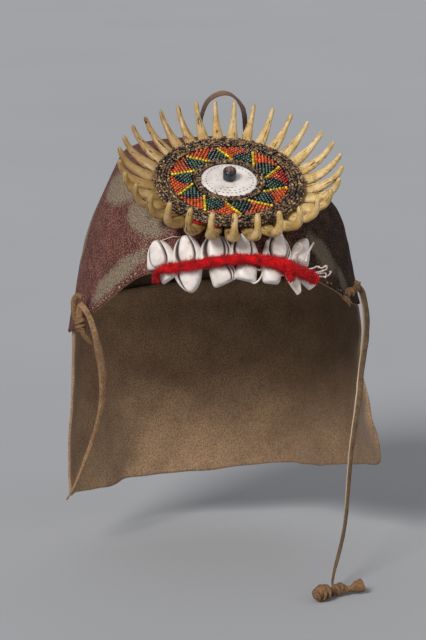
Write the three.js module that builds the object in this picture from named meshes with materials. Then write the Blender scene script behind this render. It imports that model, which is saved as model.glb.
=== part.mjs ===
// Beaded leather hat: a hood of one leather shell with a tusk-ringed beaded disc on its forehead slope,
// a band of cut cowries and red wool along the front rim, a suede neck flap, two thong ties and a loop.
// Millimetres, +Z up, the face opening towards -Y. The origin is the top of the hollow, where a head sits.
// An azimuth is measured about the Z axis in degrees, from the front (-Y) towards the right (+X).

import * as THREE from 'three';

// Clearance between pieces that touch
const CLEARANCE = 0.3;

// Hood
const HOOD_HALF_WIDTH = 95.5;
const HOOD_FRONT_REACH = 109;
const HOOD_BACK_REACH = 92;
const HOOD_HEIGHT = 127;
const HOOD_WALL = 2;
const CROWN_FILLET = 9;
const BROW_FILLET = 7;
const WAIST_FILLET = 12;
const FILLET_LIMIT = 0.45;

// Neck flap
const FLAP_WALL = 1.8;
const FLAP_TUCK = 14;
const FLAP_HALF_WIDTH = 98;
const FLAP_DEPTH = 62;
const FLAP_DROP = 235;
const FLAP_FOLD = 3;

// Hanging loop on the crown
const LOOP_WIDTH = 30;
const LOOP_HEIGHT = 33;
const LOOP_STRAP_WIDTH = 3.2;
const LOOP_STRAP_WALL = 1.6;
const LOOP_X = 5.5;
const LOOP_Y = 8;
const LOOP_OUTLINE = [
  { side: -1, rise: 0 }, { side: -0.96, rise: 0.45 }, { side: -0.66, rise: 0.83 }, { side: -0.05, rise: 1 },
  { side: 0.5, rise: 0.92 }, { side: 0.9, rise: 0.62 }, { side: 1, rise: 0.12 }, { side: 1, rise: 0 },
];

// Emblem: beaded disc with its tusks
const EMBLEM_X = 8.6;
const EMBLEM_FRONT = 64.3;
const PLATE_RADIUS = 47.5;
const PLATE_WALL = 1;
const CORE_RADIUS = 33.5;
const CLOTH_RADIUS = 48.2;
const CLOTH_WALL = 0.8;
const BORDER_WIDTH = 9.6;
const BORDER_HEIGHT = 1.7;
const BEAD_FIELD_HEIGHT = 1;
const INNER_BORDER_WIDTH = 4.6;
const SHELL_DISC_RADIUS = 18;
const SHELL_DISC_WALL = 2;
const CENTRE_BEAD_RADIUS = 4.3;
const CENTRE_BEAD_HEIGHT = 8;

// Share of the core's radius at which the slope under the emblem is measured
const SEAT_PROBE = 0.8;

// Share of a border's height that its rounded edges take
const BORDER_LIP = 0.4;

// Outlines from the rim to the axis, as shares of a radius and of a height
const SHELL_DISC_OUTLINE = [
  { reach: 0, rise: 0 }, { reach: 1, rise: 0 }, { reach: 1, rise: 0.4 }, { reach: 0.94, rise: 0.75 },
  { reach: 0.55, rise: 1 }, { reach: 0, rise: 1 },
];
const CENTRE_BEAD_OUTLINE = [
  { reach: 0, rise: 0 }, { reach: 0.9, rise: 0 }, { reach: 1, rise: 0.2 }, { reach: 1, rise: 0.75 },
  { reach: 0.8, rise: 0.86 }, { reach: 0, rise: 1 },
];

// Tusks
const TUSK_COUNT = 31;
const TUSK_THICKNESS = 5.6;
const TUSK_RISE_ROOM = 1.7;
const TUSK_WIDTH = 10.4;
const TUSK_TIP = 2.4;
const TUSK_REACH = 76;
const TUSK_TIP_HEIGHT = 21;
const TUSK_FRONT_CURL = 18;
const TUSK_PHASE = 4;
const TUSK_CROWDING = 0.17;
const TUSK_BEND_REACH = 0.9;
const TUSK_CURL_POWER = 1.8;
const TUSK_ROOT_SHARE = 0.55;
const TUSK_SWELL_START = 0.22;
const TUSK_BELLY = 1.4;
const TUSK_THINNING = 1.6;

// A tusk at the back and at the front of the ring: reach of its belly as a share of the plate's radius,
// rise of its bend and tip as shares of the tip's height, width as a share, and how late its width tapers
const TUSK_AT_BACK = { bellyReach: 1.1, bendRise: 0.24, tipRise: 1, width: 0.86, taperPower: 1.4 };
const TUSK_AT_FRONT = { bellyReach: 1.19, bendRise: 0.34, tipRise: 1.28, width: 1.12, taperPower: 3.8 };

// Cowries and wool along the front rim
const SHELL_WIDTH = 18.4;
const SHELL_HEIGHT = 20;
const SHELL_THICKNESS = 6;
const SHELL_EGG = 0.12;

// A shell from its flat back over the rim and the groove to the dome, as shares of its half size and thickness
const SHELL_PROFILE = [
  { reach: 0.86, rise: 0 }, { reach: 1, rise: 0.2 }, { reach: 0.95, rise: 0.48 }, { reach: 0.8, rise: 0.52 },
  { reach: 0.72, rise: 0.42 }, { reach: 0.5, rise: 0.85 },
];
const YARN_DIAMETER = 7.6;

// Ties
const TIE_DIAMETER = 3.4;
const KNOT_RADIUS = 4.6;

// Numbers of facets
const HOOD_COLUMNS = 44;
const FLAP_COLUMNS = 24;
const FLAP_ROWS = 8;
const TUSK_SIDES = 8;
const TUSK_STEPS = 6;
const SHELL_SIDES = 10;
const DISC_SIDES = 32;
const BEAD_SIDES = 14;
const CORD_SIDES = 8;
const LOOP_STEPS = 22;
const LEFT_TIE_STEPS = 18;
const RIGHT_TIE_STEPS = 24;
const YARN_SIDES = 10;
const YARN_STEPS = 22;

// Hood sections. Reaches are shares of the plan outline, drops are shares of the hood's height.
// crown: where the flat top ends. brow: where the slope ends. waist: where the wall turns down. rim: the edge.
const HOOD_SECTIONS = [
  { azimuth: 0, crownReach: 0.13, crownDrop: 0.004, browReach: 0.88, browDrop: 0.32,
    waistReach: 0.958, waistDrop: 0.378, rimReach: 0.995, rimDrop: 0.508 },
  { azimuth: 25, crownReach: 0.14, crownDrop: 0.004, browReach: 0.865, browDrop: 0.289,
    waistReach: 0.975, waistDrop: 0.38, rimReach: 1.05, rimDrop: 0.528 },
  { azimuth: 45, crownReach: 0.19, crownDrop: 0.007, browReach: 0.67, browDrop: 0.157,
    waistReach: 0.905, waistDrop: 0.37, rimReach: 1.035, rimDrop: 0.655 },
  { azimuth: 65, crownReach: 0.25, crownDrop: 0.01, browReach: 0.62, browDrop: 0.14,
    waistReach: 0.86, waistDrop: 0.37, rimReach: 1, rimDrop: 0.78 },
  { azimuth: 90, crownReach: 0.29, crownDrop: 0.01, browReach: 0.65, browDrop: 0.175,
    waistReach: 0.88, waistDrop: 0.38, rimReach: 1.015, rimDrop: 0.85 },
  { azimuth: 135, crownReach: 0.35, crownDrop: 0.008, browReach: 0.68, browDrop: 0.13,
    waistReach: 0.92, waistDrop: 0.4, rimReach: 1, rimDrop: 0.925 },
  { azimuth: 180, crownReach: 0.38, crownDrop: 0.006, browReach: 0.67, browDrop: 0.06,
    waistReach: 0.92, waistDrop: 0.4, rimReach: 1, rimDrop: 0.96 },
  { azimuth: 225, crownReach: 0.38, crownDrop: 0.004, browReach: 0.66, browDrop: 0.05,
    waistReach: 0.91, waistDrop: 0.43, rimReach: 1, rimDrop: 0.985 },
  { azimuth: 270, crownReach: 0.34, crownDrop: 0, browReach: 0.63, browDrop: 0.04,
    waistReach: 0.885, waistDrop: 0.46, rimReach: 1.02, rimDrop: 1 },
  { azimuth: 295, crownReach: 0.27, crownDrop: 0, browReach: 0.62, browDrop: 0.035,
    waistReach: 0.86, waistDrop: 0.36, rimReach: 0.99, rimDrop: 0.885 },
  { azimuth: 315, crownReach: 0.19, crownDrop: 0, browReach: 0.67, browDrop: 0.1,
    waistReach: 0.915, waistDrop: 0.38, rimReach: 0.985, rimDrop: 0.745 },
  { azimuth: 335, crownReach: 0.14, crownDrop: 0, browReach: 0.86, browDrop: 0.25,
    waistReach: 0.95, waistDrop: 0.35, rimReach: 1, rimDrop: 0.56 },
];

// Flap sections from the left front edge round the back to the right front edge. side is a share of the
// half width, back a share of the depth, drop a share of the flap's drop; flare holds the spread low down.
const FLAP_SECTIONS = [
  { azimuth: 279, side: -1, back: -0.22, drop: 1, flare: 1, fold: 0 },
  { azimuth: 262, side: -0.93, back: 0.06, drop: 1.005, flare: 1, fold: 0.5 },
  { azimuth: 240, side: -0.8, back: 0.38, drop: 1.015, flare: 1, fold: -0.6 },
  { azimuth: 212, side: -0.48, back: 0.82, drop: 1.01, flare: 1, fold: 1 },
  { azimuth: 180, side: 0, back: 1, drop: 0.995, flare: 1, fold: -0.8 },
  { azimuth: 148, side: 0.46, back: 0.86, drop: 0.975, flare: 1, fold: 1 },
  { azimuth: 120, side: 0.8, back: 0.42, drop: 0.95, flare: 1.2, fold: -0.6 },
  { azimuth: 100, side: 1, back: 0.1, drop: 0.925, flare: 1.5, fold: 0.4 },
  { azimuth: 88, side: 1.1, back: -0.26, drop: 0.9, flare: 1.9, fold: 0.1 },
  { azimuth: 83, side: 1.13, back: -0.4, drop: 0.835, flare: 2, fold: 0 },
];

// Cowries: azimuth, drop of the middle as a share of the hood's height, lean in degrees, size as shares
const UPPER_SHELLS = [
  { azimuth: -18.8, drop: 0.45, lean: 18, width: 0.93, height: 0.9 },
  { azimuth: -9.3, drop: 0.424, lean: 10, width: 0.93, height: 0.94 },
  { azimuth: 0.2, drop: 0.415, lean: 5, width: 0.93, height: 0.9 },
  { azimuth: 9.6, drop: 0.412, lean: 0, width: 0.88, height: 0.88 },
  { azimuth: 21.4, drop: 0.418, lean: -12, width: 0.92, height: 0.92 },
  { azimuth: 30.6, drop: 0.445, lean: -38, width: 0.68, height: 0.95 },
];
const LOWER_SHELLS = [
  { azimuth: -16.4, drop: 0.548, lean: 20, width: 0.52, height: 0.4 },
  { azimuth: -8.2, drop: 0.566, lean: 14, width: 0.84, height: 0.84 },
  { azimuth: 2.8, drop: 0.535, lean: 26, width: 0.84, height: 0.66 },
  { azimuth: 11.2, drop: 0.53, lean: -12, width: 0.7, height: 0.52 },
  { azimuth: 19.4, drop: 0.54, lean: -24, width: 0.66, height: 0.6 },
  { azimuth: 26.4, drop: 0.58, lean: 8, width: 0.38, height: 0.8 },
  { azimuth: 31, drop: 0.594, lean: 32, width: 0.27, height: 0.5 },
];

// The wool rests at this share of the shells' thickness; its tail is thinner by this share
const YARN_ON_SHELL = 0.85;
const YARN_TAIL_SHARE = 0.7;

// Steps along the hood, in degrees and in mm, that give the slope under a seated piece
const SEAT_TURN = 3;
const SEAT_RISE = 5;

// Wool strand: azimuth and drop as a share of the hood's height, from the hanging tail to the right end
const YARN_COURSE = [
  { azimuth: -21, drop: 0.6 },
  { azimuth: -20, drop: 0.54 },
  { azimuth: -12.2, drop: 0.515 },
  { azimuth: -6.2, drop: 0.499 },
  { azimuth: -0.5, drop: 0.486 },
  { azimuth: 5, drop: 0.477 },
  { azimuth: 11, drop: 0.473 },
  { azimuth: 17, drop: 0.479 },
  { azimuth: 21, drop: 0.494 },
  { azimuth: 25, drop: 0.515 },
  { azimuth: 29, drop: 0.548 },
  { azimuth: 33.5, drop: 0.6 },
];

// Routes of the ties and knots, chosen by hand
const LEFT_TIE_ROUTE = [
  [-86.6, -55.4, -95.6], [-83, -58.4, -99.5], [-79.8, -58, -106], [-77.6, -56.4, -114], [-76, -52, -123],
  [-74.2, -47, -134], [-73, -42, -147], [-73, -38, -160], [-74.6, -34, -172], [-77.4, -31, -183],
  [-81.4, -28, -195], [-86, -26, -207.5], [-90.6, -24, -219.5], [-95, -22.5, -229.5], [-98.4, -22, -235],
];
const LEFT_KNOT_ROUTE = [
  { x: -89, y: -46.5, z: -96, radius: 0.45 }, { x: -88.2, y: -50.5, z: -101, radius: 0.8 },
  { x: -87.2, y: -52.5, z: -107, radius: 1 }, { x: -86.6, y: -53, z: -113, radius: 0.95 },
  { x: -85, y: -53.6, z: -118, radius: 0.6 }, { x: -82.6, y: -54.4, z: -122, radius: 0.42 },
  { x: -79.2, y: -55, z: -125, radius: 0.4 },
];
const RIGHT_TIE_ROUTE = [
  [93.9, -47, -86.8], [96.4, -45.8, -89.6], [98, -43.6, -94.5], [99.6, -42.6, -101.5], [100.4, -41.6, -110],
  [99.8, -41, -121], [98, -41.6, -132.5], [96, -43.4, -144], [94.4, -46, -156], [92.6, -49.4, -169],
  [90.6, -53, -182], [88.8, -57.4, -194.6], [87.6, -62.4, -207], [86.4, -68, -219.4], [85.2, -74.6, -231.4],
  [83.4, -81.6, -241.6], [80.6, -89, -251.4], [77.4, -97.4, -260.6], [75.6, -105.4, -266.4],
  [75.4, -110.4, -268.2],
];
const RIGHT_KNOT_ROUTE = [
  { x: 85.2, y: -53.7, z: -97.6, radius: 0.3 }, { x: 87, y: -53, z: -95.4, radius: 0.6 },
  { x: 88.8, y: -51, z: -91.8, radius: 0.66 }, { x: 90, y: -47.8, z: -87, radius: 0.5 },
  { x: 90, y: -44.8, z: -82.6, radius: 0.3 },
];
const END_KNOT_ROUTE = [
  { x: 62.6, y: -128, z: -269.6, radius: 0.7 }, { x: 66.4, y: -126.4, z: -268.6, radius: 1.05 },
  { x: 70.6, y: -123.4, z: -268.8, radius: 1 }, { x: 74.4, y: -118.4, z: -270.4, radius: 0.66 },
  { x: 78, y: -114.6, z: -269.6, radius: 0.9 }, { x: 82, y: -113, z: -269.8, radius: 0.85 },
  { x: 85.6, y: -111.8, z: -271, radius: 0.55 }, { x: 90, y: -109.6, z: -270.4, radius: 0.7 },
  { x: 94, y: -107.4, z: -270, radius: 0.8 },
];

// Values worked out from the sizes above
const CROWN_TOP = HOOD_WALL;
const radians = (degrees) => THREE.MathUtils.degToRad(degrees);

// Materials
function finish(color, roughness) {
  return new THREE.MeshStandardMaterial({ color, roughness, metalness: 0 });
}
const paintedLeather = () => finish('#6b4746', 0.85);
const suede = () => finish('#6b543f', 0.95);
const strapLeather = () => finish('#4a3c33', 0.8);
const thongLeather = () => finish('#97724f', 0.85);
const beadwork = () => finish('#5a4a3c', 0.45);
const tuskIvory = () => finish('#cdb27c', 0.5);
const shellWhite = () => finish('#e6ded4', 0.45);
const darkGlass = () => finish('#23252d', 0.25);
const redWool = () => finish('#b30d14', 1);
const redCloth = () => finish('#a01418', 0.95);

// A closed body from vertices and quads or triangles, turned so that its faces point outwards.
function closedBody(vertices, faces) {
  const triangles = [];
  for (const face of faces) {
    triangles.push([face[0], face[1], face[2]]);
    if (face.length === 4) {
      triangles.push([face[0], face[2], face[3]]);
    }
  }
  let volume = 0;
  for (const [a, b, c] of triangles) {
    volume += vertices[a].dot(new THREE.Vector3().crossVectors(vertices[b], vertices[c]));
  }
  const ordered = volume > 0 ? triangles : triangles.map(([a, b, c]) => [a, c, b]);
  const geometry = new THREE.BufferGeometry().setFromPoints(vertices);
  geometry.setIndex(ordered.flat());
  geometry.computeVertexNormals();
  return geometry;
}

// A body of closed rings, one after another, with a fan at each end. A ring of one point is a pole.
function ringBody(rings) {
  const vertices = [];
  const faces = [];
  const starts = rings.map((ring) => {
    const start = vertices.length;
    vertices.push(...ring);
    return start;
  });
  const fan = (ringIndex, centre) => {
    const count = rings[ringIndex].length;
    for (let i = 0; i < count; i += 1) {
      faces.push([starts[ringIndex] + i, starts[ringIndex] + ((i + 1) % count), centre]);
    }
  };
  const lastIndex = rings.length - 1;
  for (let k = 0; k < lastIndex; k += 1) {
    const [lower, upper] = [rings[k], rings[k + 1]];
    if (lower.length === 1 || upper.length === 1) {
      continue;
    }
    for (let i = 0; i < lower.length; i += 1) {
      const next = (i + 1) % lower.length;
      faces.push([starts[k] + i, starts[k] + next, starts[k + 1] + next, starts[k + 1] + i]);
    }
  }
  const endFans = [[0, 1], [lastIndex, lastIndex - 1]];
  for (const [end, neighbour] of endFans) {
    const ringIndex = rings[end].length === 1 ? neighbour : end;
    let centre = starts[end];
    if (rings[end].length > 1) {
      const middle = new THREE.Vector3();
      rings[end].forEach((point) => middle.add(point));
      vertices.push(middle.divideScalar(rings[end].length));
      centre = vertices.length - 1;
    }
    const before = faces.length;
    fan(ringIndex, centre);
    if (end === 0) {
      for (let i = before; i < faces.length; i += 1) {
        faces[i].reverse();
      }
    }
  }
  return closedBody(vertices, faces);
}

// An open sheet given a wall: an outer and an inner grid of points, joined along all four edges.
function sheetBody(outer, inner) {
  const rows = outer.length;
  const columns = outer[0].length;
  const vertices = [...outer.flat(), ...inner.flat()];
  const outside = (j, i) => j * columns + i;
  const inside = (j, i) => rows * columns + j * columns + i;
  const faces = [];
  for (let j = 0; j < rows - 1; j += 1) {
    for (let i = 0; i < columns - 1; i += 1) {
      faces.push([outside(j, i), outside(j, i + 1), outside(j + 1, i + 1), outside(j + 1, i)]);
      faces.push([inside(j, i), inside(j + 1, i), inside(j + 1, i + 1), inside(j, i + 1)]);
    }
  }
  for (let i = 0; i < columns - 1; i += 1) {
    faces.push([outside(0, i), inside(0, i), inside(0, i + 1), outside(0, i + 1)]);
    faces.push([outside(rows - 1, i), outside(rows - 1, i + 1), inside(rows - 1, i + 1), inside(rows - 1, i)]);
  }
  for (let j = 0; j < rows - 1; j += 1) {
    faces.push([outside(j, 0), outside(j + 1, 0), inside(j + 1, 0), inside(j, 0)]);
    faces.push([outside(j, columns - 1), inside(j, columns - 1),
      inside(j + 1, columns - 1), outside(j + 1, columns - 1)]);
  }
  return closedBody(vertices, faces);
}

// A tube along a smooth course through given points, with a radius at each point.
function taperedTube(points, radii, sides, steps) {
  const course = new THREE.CatmullRomCurve3(points, false, 'centripetal');
  const frames = course.computeFrenetFrames(steps, false);
  const rings = [];
  for (let k = 0; k <= steps; k += 1) {
    const place = (k / steps) * (points.length - 1);
    const index = Math.min(Math.floor(place), points.length - 2);
    const radius = THREE.MathUtils.lerp(radii[index], radii[index + 1], place - index);
    const centre = course.getPoint(k / steps);
    const ring = [];
    for (let i = 0; i < sides; i += 1) {
      const angle = (2 * Math.PI * i) / sides;
      ring.push(centre.clone()
        .addScaledVector(frames.normals[k], radius * Math.cos(angle))
        .addScaledVector(frames.binormals[k], radius * Math.sin(angle)));
    }
    rings.push(ring);
  }
  return ringBody(rings);
}

// A round cord along a smooth course through given points.
function cordTube(points, diameter, steps) {
  const section = new THREE.Shape();
  for (let i = 0; i < CORD_SIDES; i += 1) {
    const angle = (2 * Math.PI * i) / CORD_SIDES;
    const [x, y] = [(diameter / 2) * Math.cos(angle), (diameter / 2) * Math.sin(angle)];
    if (i === 0) {
      section.moveTo(x, y);
    } else {
      section.lineTo(x, y);
    }
  }
  const course = new THREE.CatmullRomCurve3(points, false, 'centripetal');
  return new THREE.ExtrudeGeometry(section, { steps, extrudePath: course, bevelEnabled: false });
}

// The value of a table's column at an azimuth, smoothly between the rows, round the whole circle.
function aroundTable(table, column, azimuth) {
  const turn = ((azimuth % 360) + 360) % 360;
  const count = table.length;
  let index = count - 1;
  for (let i = 0; i < count; i += 1) {
    if (table[i].azimuth <= turn) {
      index = i;
    }
  }
  const row = (k) => table[((k % count) + count) % count];
  const angle = (k) => row(k).azimuth + 360 * Math.floor(k / count);
  const slope = (k) => (row(k + 1)[column] - row(k - 1)[column]) / (angle(k + 1) - angle(k - 1));
  const span = angle(index + 1) - angle(index);
  const t = (turn - angle(index)) / span;
  const start = row(index)[column];
  const end = row(index + 1)[column];
  const rise = end - start;
  const a = slope(index) * span - rise;
  const b = rise - slope(index + 1) * span;
  return start + rise * t + t * (1 - t) * (a * (1 - t) + b * t);
}

// The value of a table's column at a share of the way along its rows, smoothly between them.
function alongTable(table, column, share) {
  const place = share * (table.length - 1);
  const index = Math.min(Math.floor(place), table.length - 2);
  const t = place - index;
  const value = (k) => table[THREE.MathUtils.clamp(k, 0, table.length - 1)][column];
  const [before, start, end, after] = [value(index - 1), value(index), value(index + 1), value(index + 2)];
  const slopeIn = (end - before) / 2;
  const slopeOut = (after - start) / 2;
  return start * (1 - t) ** 2 * (1 + 2 * t) + end * t ** 2 * (3 - 2 * t)
    + slopeIn * t * (1 - t) ** 2 - slopeOut * t ** 2 * (1 - t);
}

// The hood's plan outline: half an ellipse to the front and half to the back.
function planReach(azimuth) {
  const depth = Math.cos(radians(azimuth)) > 0 ? HOOD_FRONT_REACH : HOOD_BACK_REACH;
  return 1 / Math.hypot(Math.sin(radians(azimuth)) / HOOD_HALF_WIDTH, Math.cos(radians(azimuth)) / depth);
}

// The hood's outer profile at an azimuth, crown to rim: straight stretches with rounded corners.
function outerProfile(azimuth) {
  const reach = planReach(azimuth);
  const corner = (name) => new THREE.Vector2(
    reach * aroundTable(HOOD_SECTIONS, `${name}Reach`, azimuth),
    CROWN_TOP - HOOD_HEIGHT * aroundTable(HOOD_SECTIONS, `${name}Drop`, azimuth),
  );
  const corners = [new THREE.Vector2(0, CROWN_TOP), corner('crown'), corner('brow'), corner('waist'), corner('rim')];
  const fillets = [CROWN_FILLET, BROW_FILLET, WAIST_FILLET];
  const points = [corners[0]];
  fillets.forEach((fillet, k) => {
    const [before, middle, after] = corners.slice(k, k + 3);
    const toBefore = before.clone().sub(middle);
    const toAfter = after.clone().sub(middle);
    const length = Math.min(fillet, toBefore.length() * FILLET_LIMIT, toAfter.length() * FILLET_LIMIT);
    const bend = new THREE.QuadraticBezierCurve(
      middle.clone().addScaledVector(toBefore.normalize(), length),
      middle,
      middle.clone().addScaledVector(toAfter.normalize(), length),
    );
    points.push(...bend.getPoints(2));
  });
  const last = points[points.length - 1];
  points.push(last.clone().lerp(corners[4], 0.5), corners[4]);
  return points;
}

// The profile moved inwards, square to itself, by a distance.
function innerProfile(azimuth, distance) {
  const points = outerProfile(azimuth);
  return points.map((point, k) => {
    if (k === 0) {
      return new THREE.Vector2(0, CROWN_TOP - distance);
    }
    const next = points[Math.min(k + 1, points.length - 1)];
    const along = next.clone().sub(points[k - 1]).normalize();
    return new THREE.Vector2(point.x + along.y * distance, point.y - along.x * distance);
  });
}

// A profile point carried to its azimuth.
function atAzimuth(azimuth, point) {
  return new THREE.Vector3(
    point.x * Math.sin(radians(azimuth)),
    -point.x * Math.cos(radians(azimuth)),
    point.y,
  );
}

// The reach of a profile at a height. Below the rim it is the rim's.
function reachAtHeight(profile, height) {
  for (let k = profile.length - 1; k > 0; k -= 1) {
    const [upper, lower] = [profile[k - 1], profile[k]];
    if (height >= lower.y && height <= upper.y) {
      return THREE.MathUtils.mapLinear(height, lower.y, upper.y, lower.x, upper.x);
    }
  }
  return profile[profile.length - 1].x;
}

// A point on the hood's outside at an azimuth and height, with the axes of a piece that lies on it:
// out is square to the leather, side points along it to the right and up points up along it.
function seatOnHood(azimuth, height) {
  const rimHeight = outerProfile(azimuth).at(-1).y;
  const level = Math.max(height, rimHeight);
  const pointAt = (angle, z) => atAzimuth(angle, new THREE.Vector2(reachAtHeight(outerProfile(angle), z), z));
  const point = pointAt(azimuth, level);
  const side = pointAt(azimuth + SEAT_TURN, level).sub(pointAt(azimuth - SEAT_TURN, level)).normalize();
  const up = pointAt(azimuth, level + SEAT_RISE).sub(point).normalize();
  const out = new THREE.Vector3().crossVectors(side, up).normalize();
  up.crossVectors(out, side).normalize();
  point.addScaledVector(up, (height - level) / up.z);
  return { point, side, up, out };
}

// The height of the hood's outside over a point of the plan.
function hoodHeightOver(x, y) {
  const azimuth = THREE.MathUtils.radToDeg(Math.atan2(x, -y));
  const reach = Math.hypot(x, y);
  const profile = outerProfile(azimuth);
  for (let k = 1; k < profile.length; k += 1) {
    if (reach <= profile[k].x) {
      return THREE.MathUtils.mapLinear(reach, profile[k - 1].x, profile[k].x, profile[k - 1].y, profile[k].y);
    }
  }
  return profile[profile.length - 1].y;
}

const hat = new THREE.Group();

function addPiece(parent, name, geometry, material) {
  const mesh = new THREE.Mesh(geometry, material);
  mesh.name = name;
  parent.add(mesh);
  return mesh;
}

// Hood: the outer profile down to the rim and the inner one back up, at every column.
function makeHood() {
  const outerRings = [];
  const innerRings = [];
  for (let i = 0; i < HOOD_COLUMNS; i += 1) {
    const azimuth = (360 * i) / HOOD_COLUMNS;
    outerProfile(azimuth).forEach((point, k) => {
      outerRings[k] = [...(outerRings[k] ?? []), atAzimuth(azimuth, point)];
    });
    innerProfile(azimuth, HOOD_WALL).forEach((point, k) => {
      innerRings[k] = [...(innerRings[k] ?? []), atAzimuth(azimuth, point)];
    });
  }
  outerRings[0].length = 1;
  innerRings[0].length = 1;
  addPiece(hat, 'hood', ringBody([...outerRings, ...innerRings.reverse()]), paintedLeather());
}

// Neck flap: from a top edge that follows the hood's inside to a free lower edge.
function makeNeckFlap() {
  const gap = HOOD_WALL + 2 * CLEARANCE;
  const surface = (distance) => {
    const rows = [];
    for (let j = 0; j <= FLAP_ROWS; j += 1) {
      const row = [];
      const v = j / FLAP_ROWS;
      for (let i = 0; i <= FLAP_COLUMNS; i += 1) {
        const u = i / FLAP_COLUMNS;
        const azimuth = alongTable(FLAP_SECTIONS, 'azimuth', u);
        const profile = innerProfile(azimuth, gap + distance);
        const rimHeight = outerProfile(azimuth).at(-1).y;
        const top = atAzimuth(azimuth, new THREE.Vector2(reachAtHeight(profile, rimHeight + FLAP_TUCK), 0));
        const hem = atAzimuth(azimuth, new THREE.Vector2(reachAtHeight(profile, rimHeight), 0));
        const foot = new THREE.Vector3(
          FLAP_HALF_WIDTH * alongTable(FLAP_SECTIONS, 'side', u),
          FLAP_DEPTH * alongTable(FLAP_SECTIONS, 'back', u),
          0,
        );
        const out = new THREE.Vector3(Math.sin(radians(azimuth)), -Math.cos(radians(azimuth)), 0);
        foot.addScaledVector(out, -distance);
        const bottom = -FLAP_DROP * alongTable(FLAP_SECTIONS, 'drop', u);
        const share = Math.max(0, (v * FLAP_ROWS - 1) / (FLAP_ROWS - 1));
        const point = j === 0 ? top : hem.clone().lerp(foot, share ** alongTable(FLAP_SECTIONS, 'flare', u));
        point.addScaledVector(out, FLAP_FOLD * alongTable(FLAP_SECTIONS, 'fold', u) * Math.sin(share * Math.PI / 2));
        point.z = j === 0 ? rimHeight + FLAP_TUCK : THREE.MathUtils.lerp(rimHeight, bottom, share);
        row.push(point);
      }
      rows.push(row);
    }
    return rows;
  };
  addPiece(hat, 'neck_flap', sheetBody(surface(0), surface(FLAP_WALL)), suede());
}

// Hanging loop: a flat strap bent to an arch, with both feet on the crown.
function makeHangingLoop() {
  const half = LOOP_WIDTH / 2;
  const foot = Math.max(hoodHeightOver(LOOP_X - half, LOOP_Y), hoodHeightOver(LOOP_X + half, LOOP_Y)) + CLEARANCE;
  const course = new THREE.CatmullRomCurve3(LOOP_OUTLINE.map(({ side, rise }) => new THREE.Vector3(
    LOOP_X + half * side, LOOP_Y, foot + (LOOP_HEIGHT - foot) * rise)), false, 'centripetal');
  const strapSide = new THREE.Vector3(0, 1, 0);
  const rings = [];
  for (let k = 0; k <= LOOP_STEPS; k += 1) {
    const centre = course.getPoint(k / LOOP_STEPS);
    const tangent = course.getTangent(k / LOOP_STEPS);
    const across = k === 0 || k === LOOP_STEPS
      ? new THREE.Vector3(1, 0, 0)
      : new THREE.Vector3().crossVectors(strapSide, tangent).normalize();
    if (k === LOOP_STEPS) {
      across.negate();
    }
    rings.push([[1, 1], [1, -1], [-1, -1], [-1, 1]].map(([a, b]) => centre.clone()
      .addScaledVector(across, (a * LOOP_STRAP_WIDTH) / 2)
      .addScaledVector(strapSide, (b * LOOP_STRAP_WALL) / 2)));
  }
  addPiece(hat, 'hanging_loop', ringBody(rings), strapLeather());
}

// The emblem's seat: it leans with the hood's slope and clears the highest point under it.
function emblemSeat() {
  const centre = new THREE.Vector3(EMBLEM_X, -EMBLEM_FRONT, hoodHeightOver(EMBLEM_X, -EMBLEM_FRONT));
  const probe = CORE_RADIUS * SEAT_PROBE;
  const chord = (dx, dy) => new THREE.Vector3(
    2 * dx, 2 * dy,
    hoodHeightOver(centre.x + dx, centre.y + dy) - hoodHeightOver(centre.x - dx, centre.y - dy));
  const side = chord(probe, 0).normalize();
  const out = new THREE.Vector3().crossVectors(side, chord(0, probe)).normalize();
  const back = new THREE.Vector3().crossVectors(out, side).normalize();
  let lift = 0;
  for (let azimuth = 0; azimuth < 360; azimuth += 5) {
    for (const point of outerProfile(azimuth)) {
      const offset = atAzimuth(azimuth, point).sub(centre);
      const height = offset.dot(out);
      const reach = Math.sqrt(Math.max(0, offset.lengthSq() - height ** 2));
      if (reach < PLATE_RADIUS) {
        lift = Math.max(lift, height);
      }
    }
  }
  centre.addScaledVector(out, lift + CLEARANCE);
  return { centre, basis: new THREE.Matrix4().makeBasis(side, back, out) };
}

// A round piece turned about the emblem's axis. The outline is closed by the axis or by its first point.
function turned(outline, sides = DISC_SIDES) {
  const geometry = new THREE.LatheGeometry(outline.map(([x, y]) => new THREE.Vector2(x, y)), sides);
  geometry.rotateX(Math.PI / 2);
  return geometry;
}

// Heights in the emblem's stack, from its underside
const CLOTH_BASE = TUSK_THICKNESS + TUSK_RISE_ROOM + CLEARANCE;
const PLATE_BASE = CLOTH_BASE + CLOTH_WALL + CLEARANCE;
const PLATE_TOP = PLATE_BASE + PLATE_WALL;
const FIELD_TOP = PLATE_TOP + BEAD_FIELD_HEIGHT;
const BORDER_INNER = PLATE_RADIUS - BORDER_WIDTH;
const INNER_BORDER_START = SHELL_DISC_RADIUS + CLEARANCE;
const INNER_BORDER_END = INNER_BORDER_START + INNER_BORDER_WIDTH;

// A rounded ring that lies on the plate.
function ringOutline(inner, outer, base, height) {
  const lip = height * BORDER_LIP;
  return [
    [inner, base], [outer, base], [outer, base + height - lip], [outer - lip, base + height],
    [inner + lip, base + height], [inner, base + height - lip], [inner, base],
  ];
}

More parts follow.
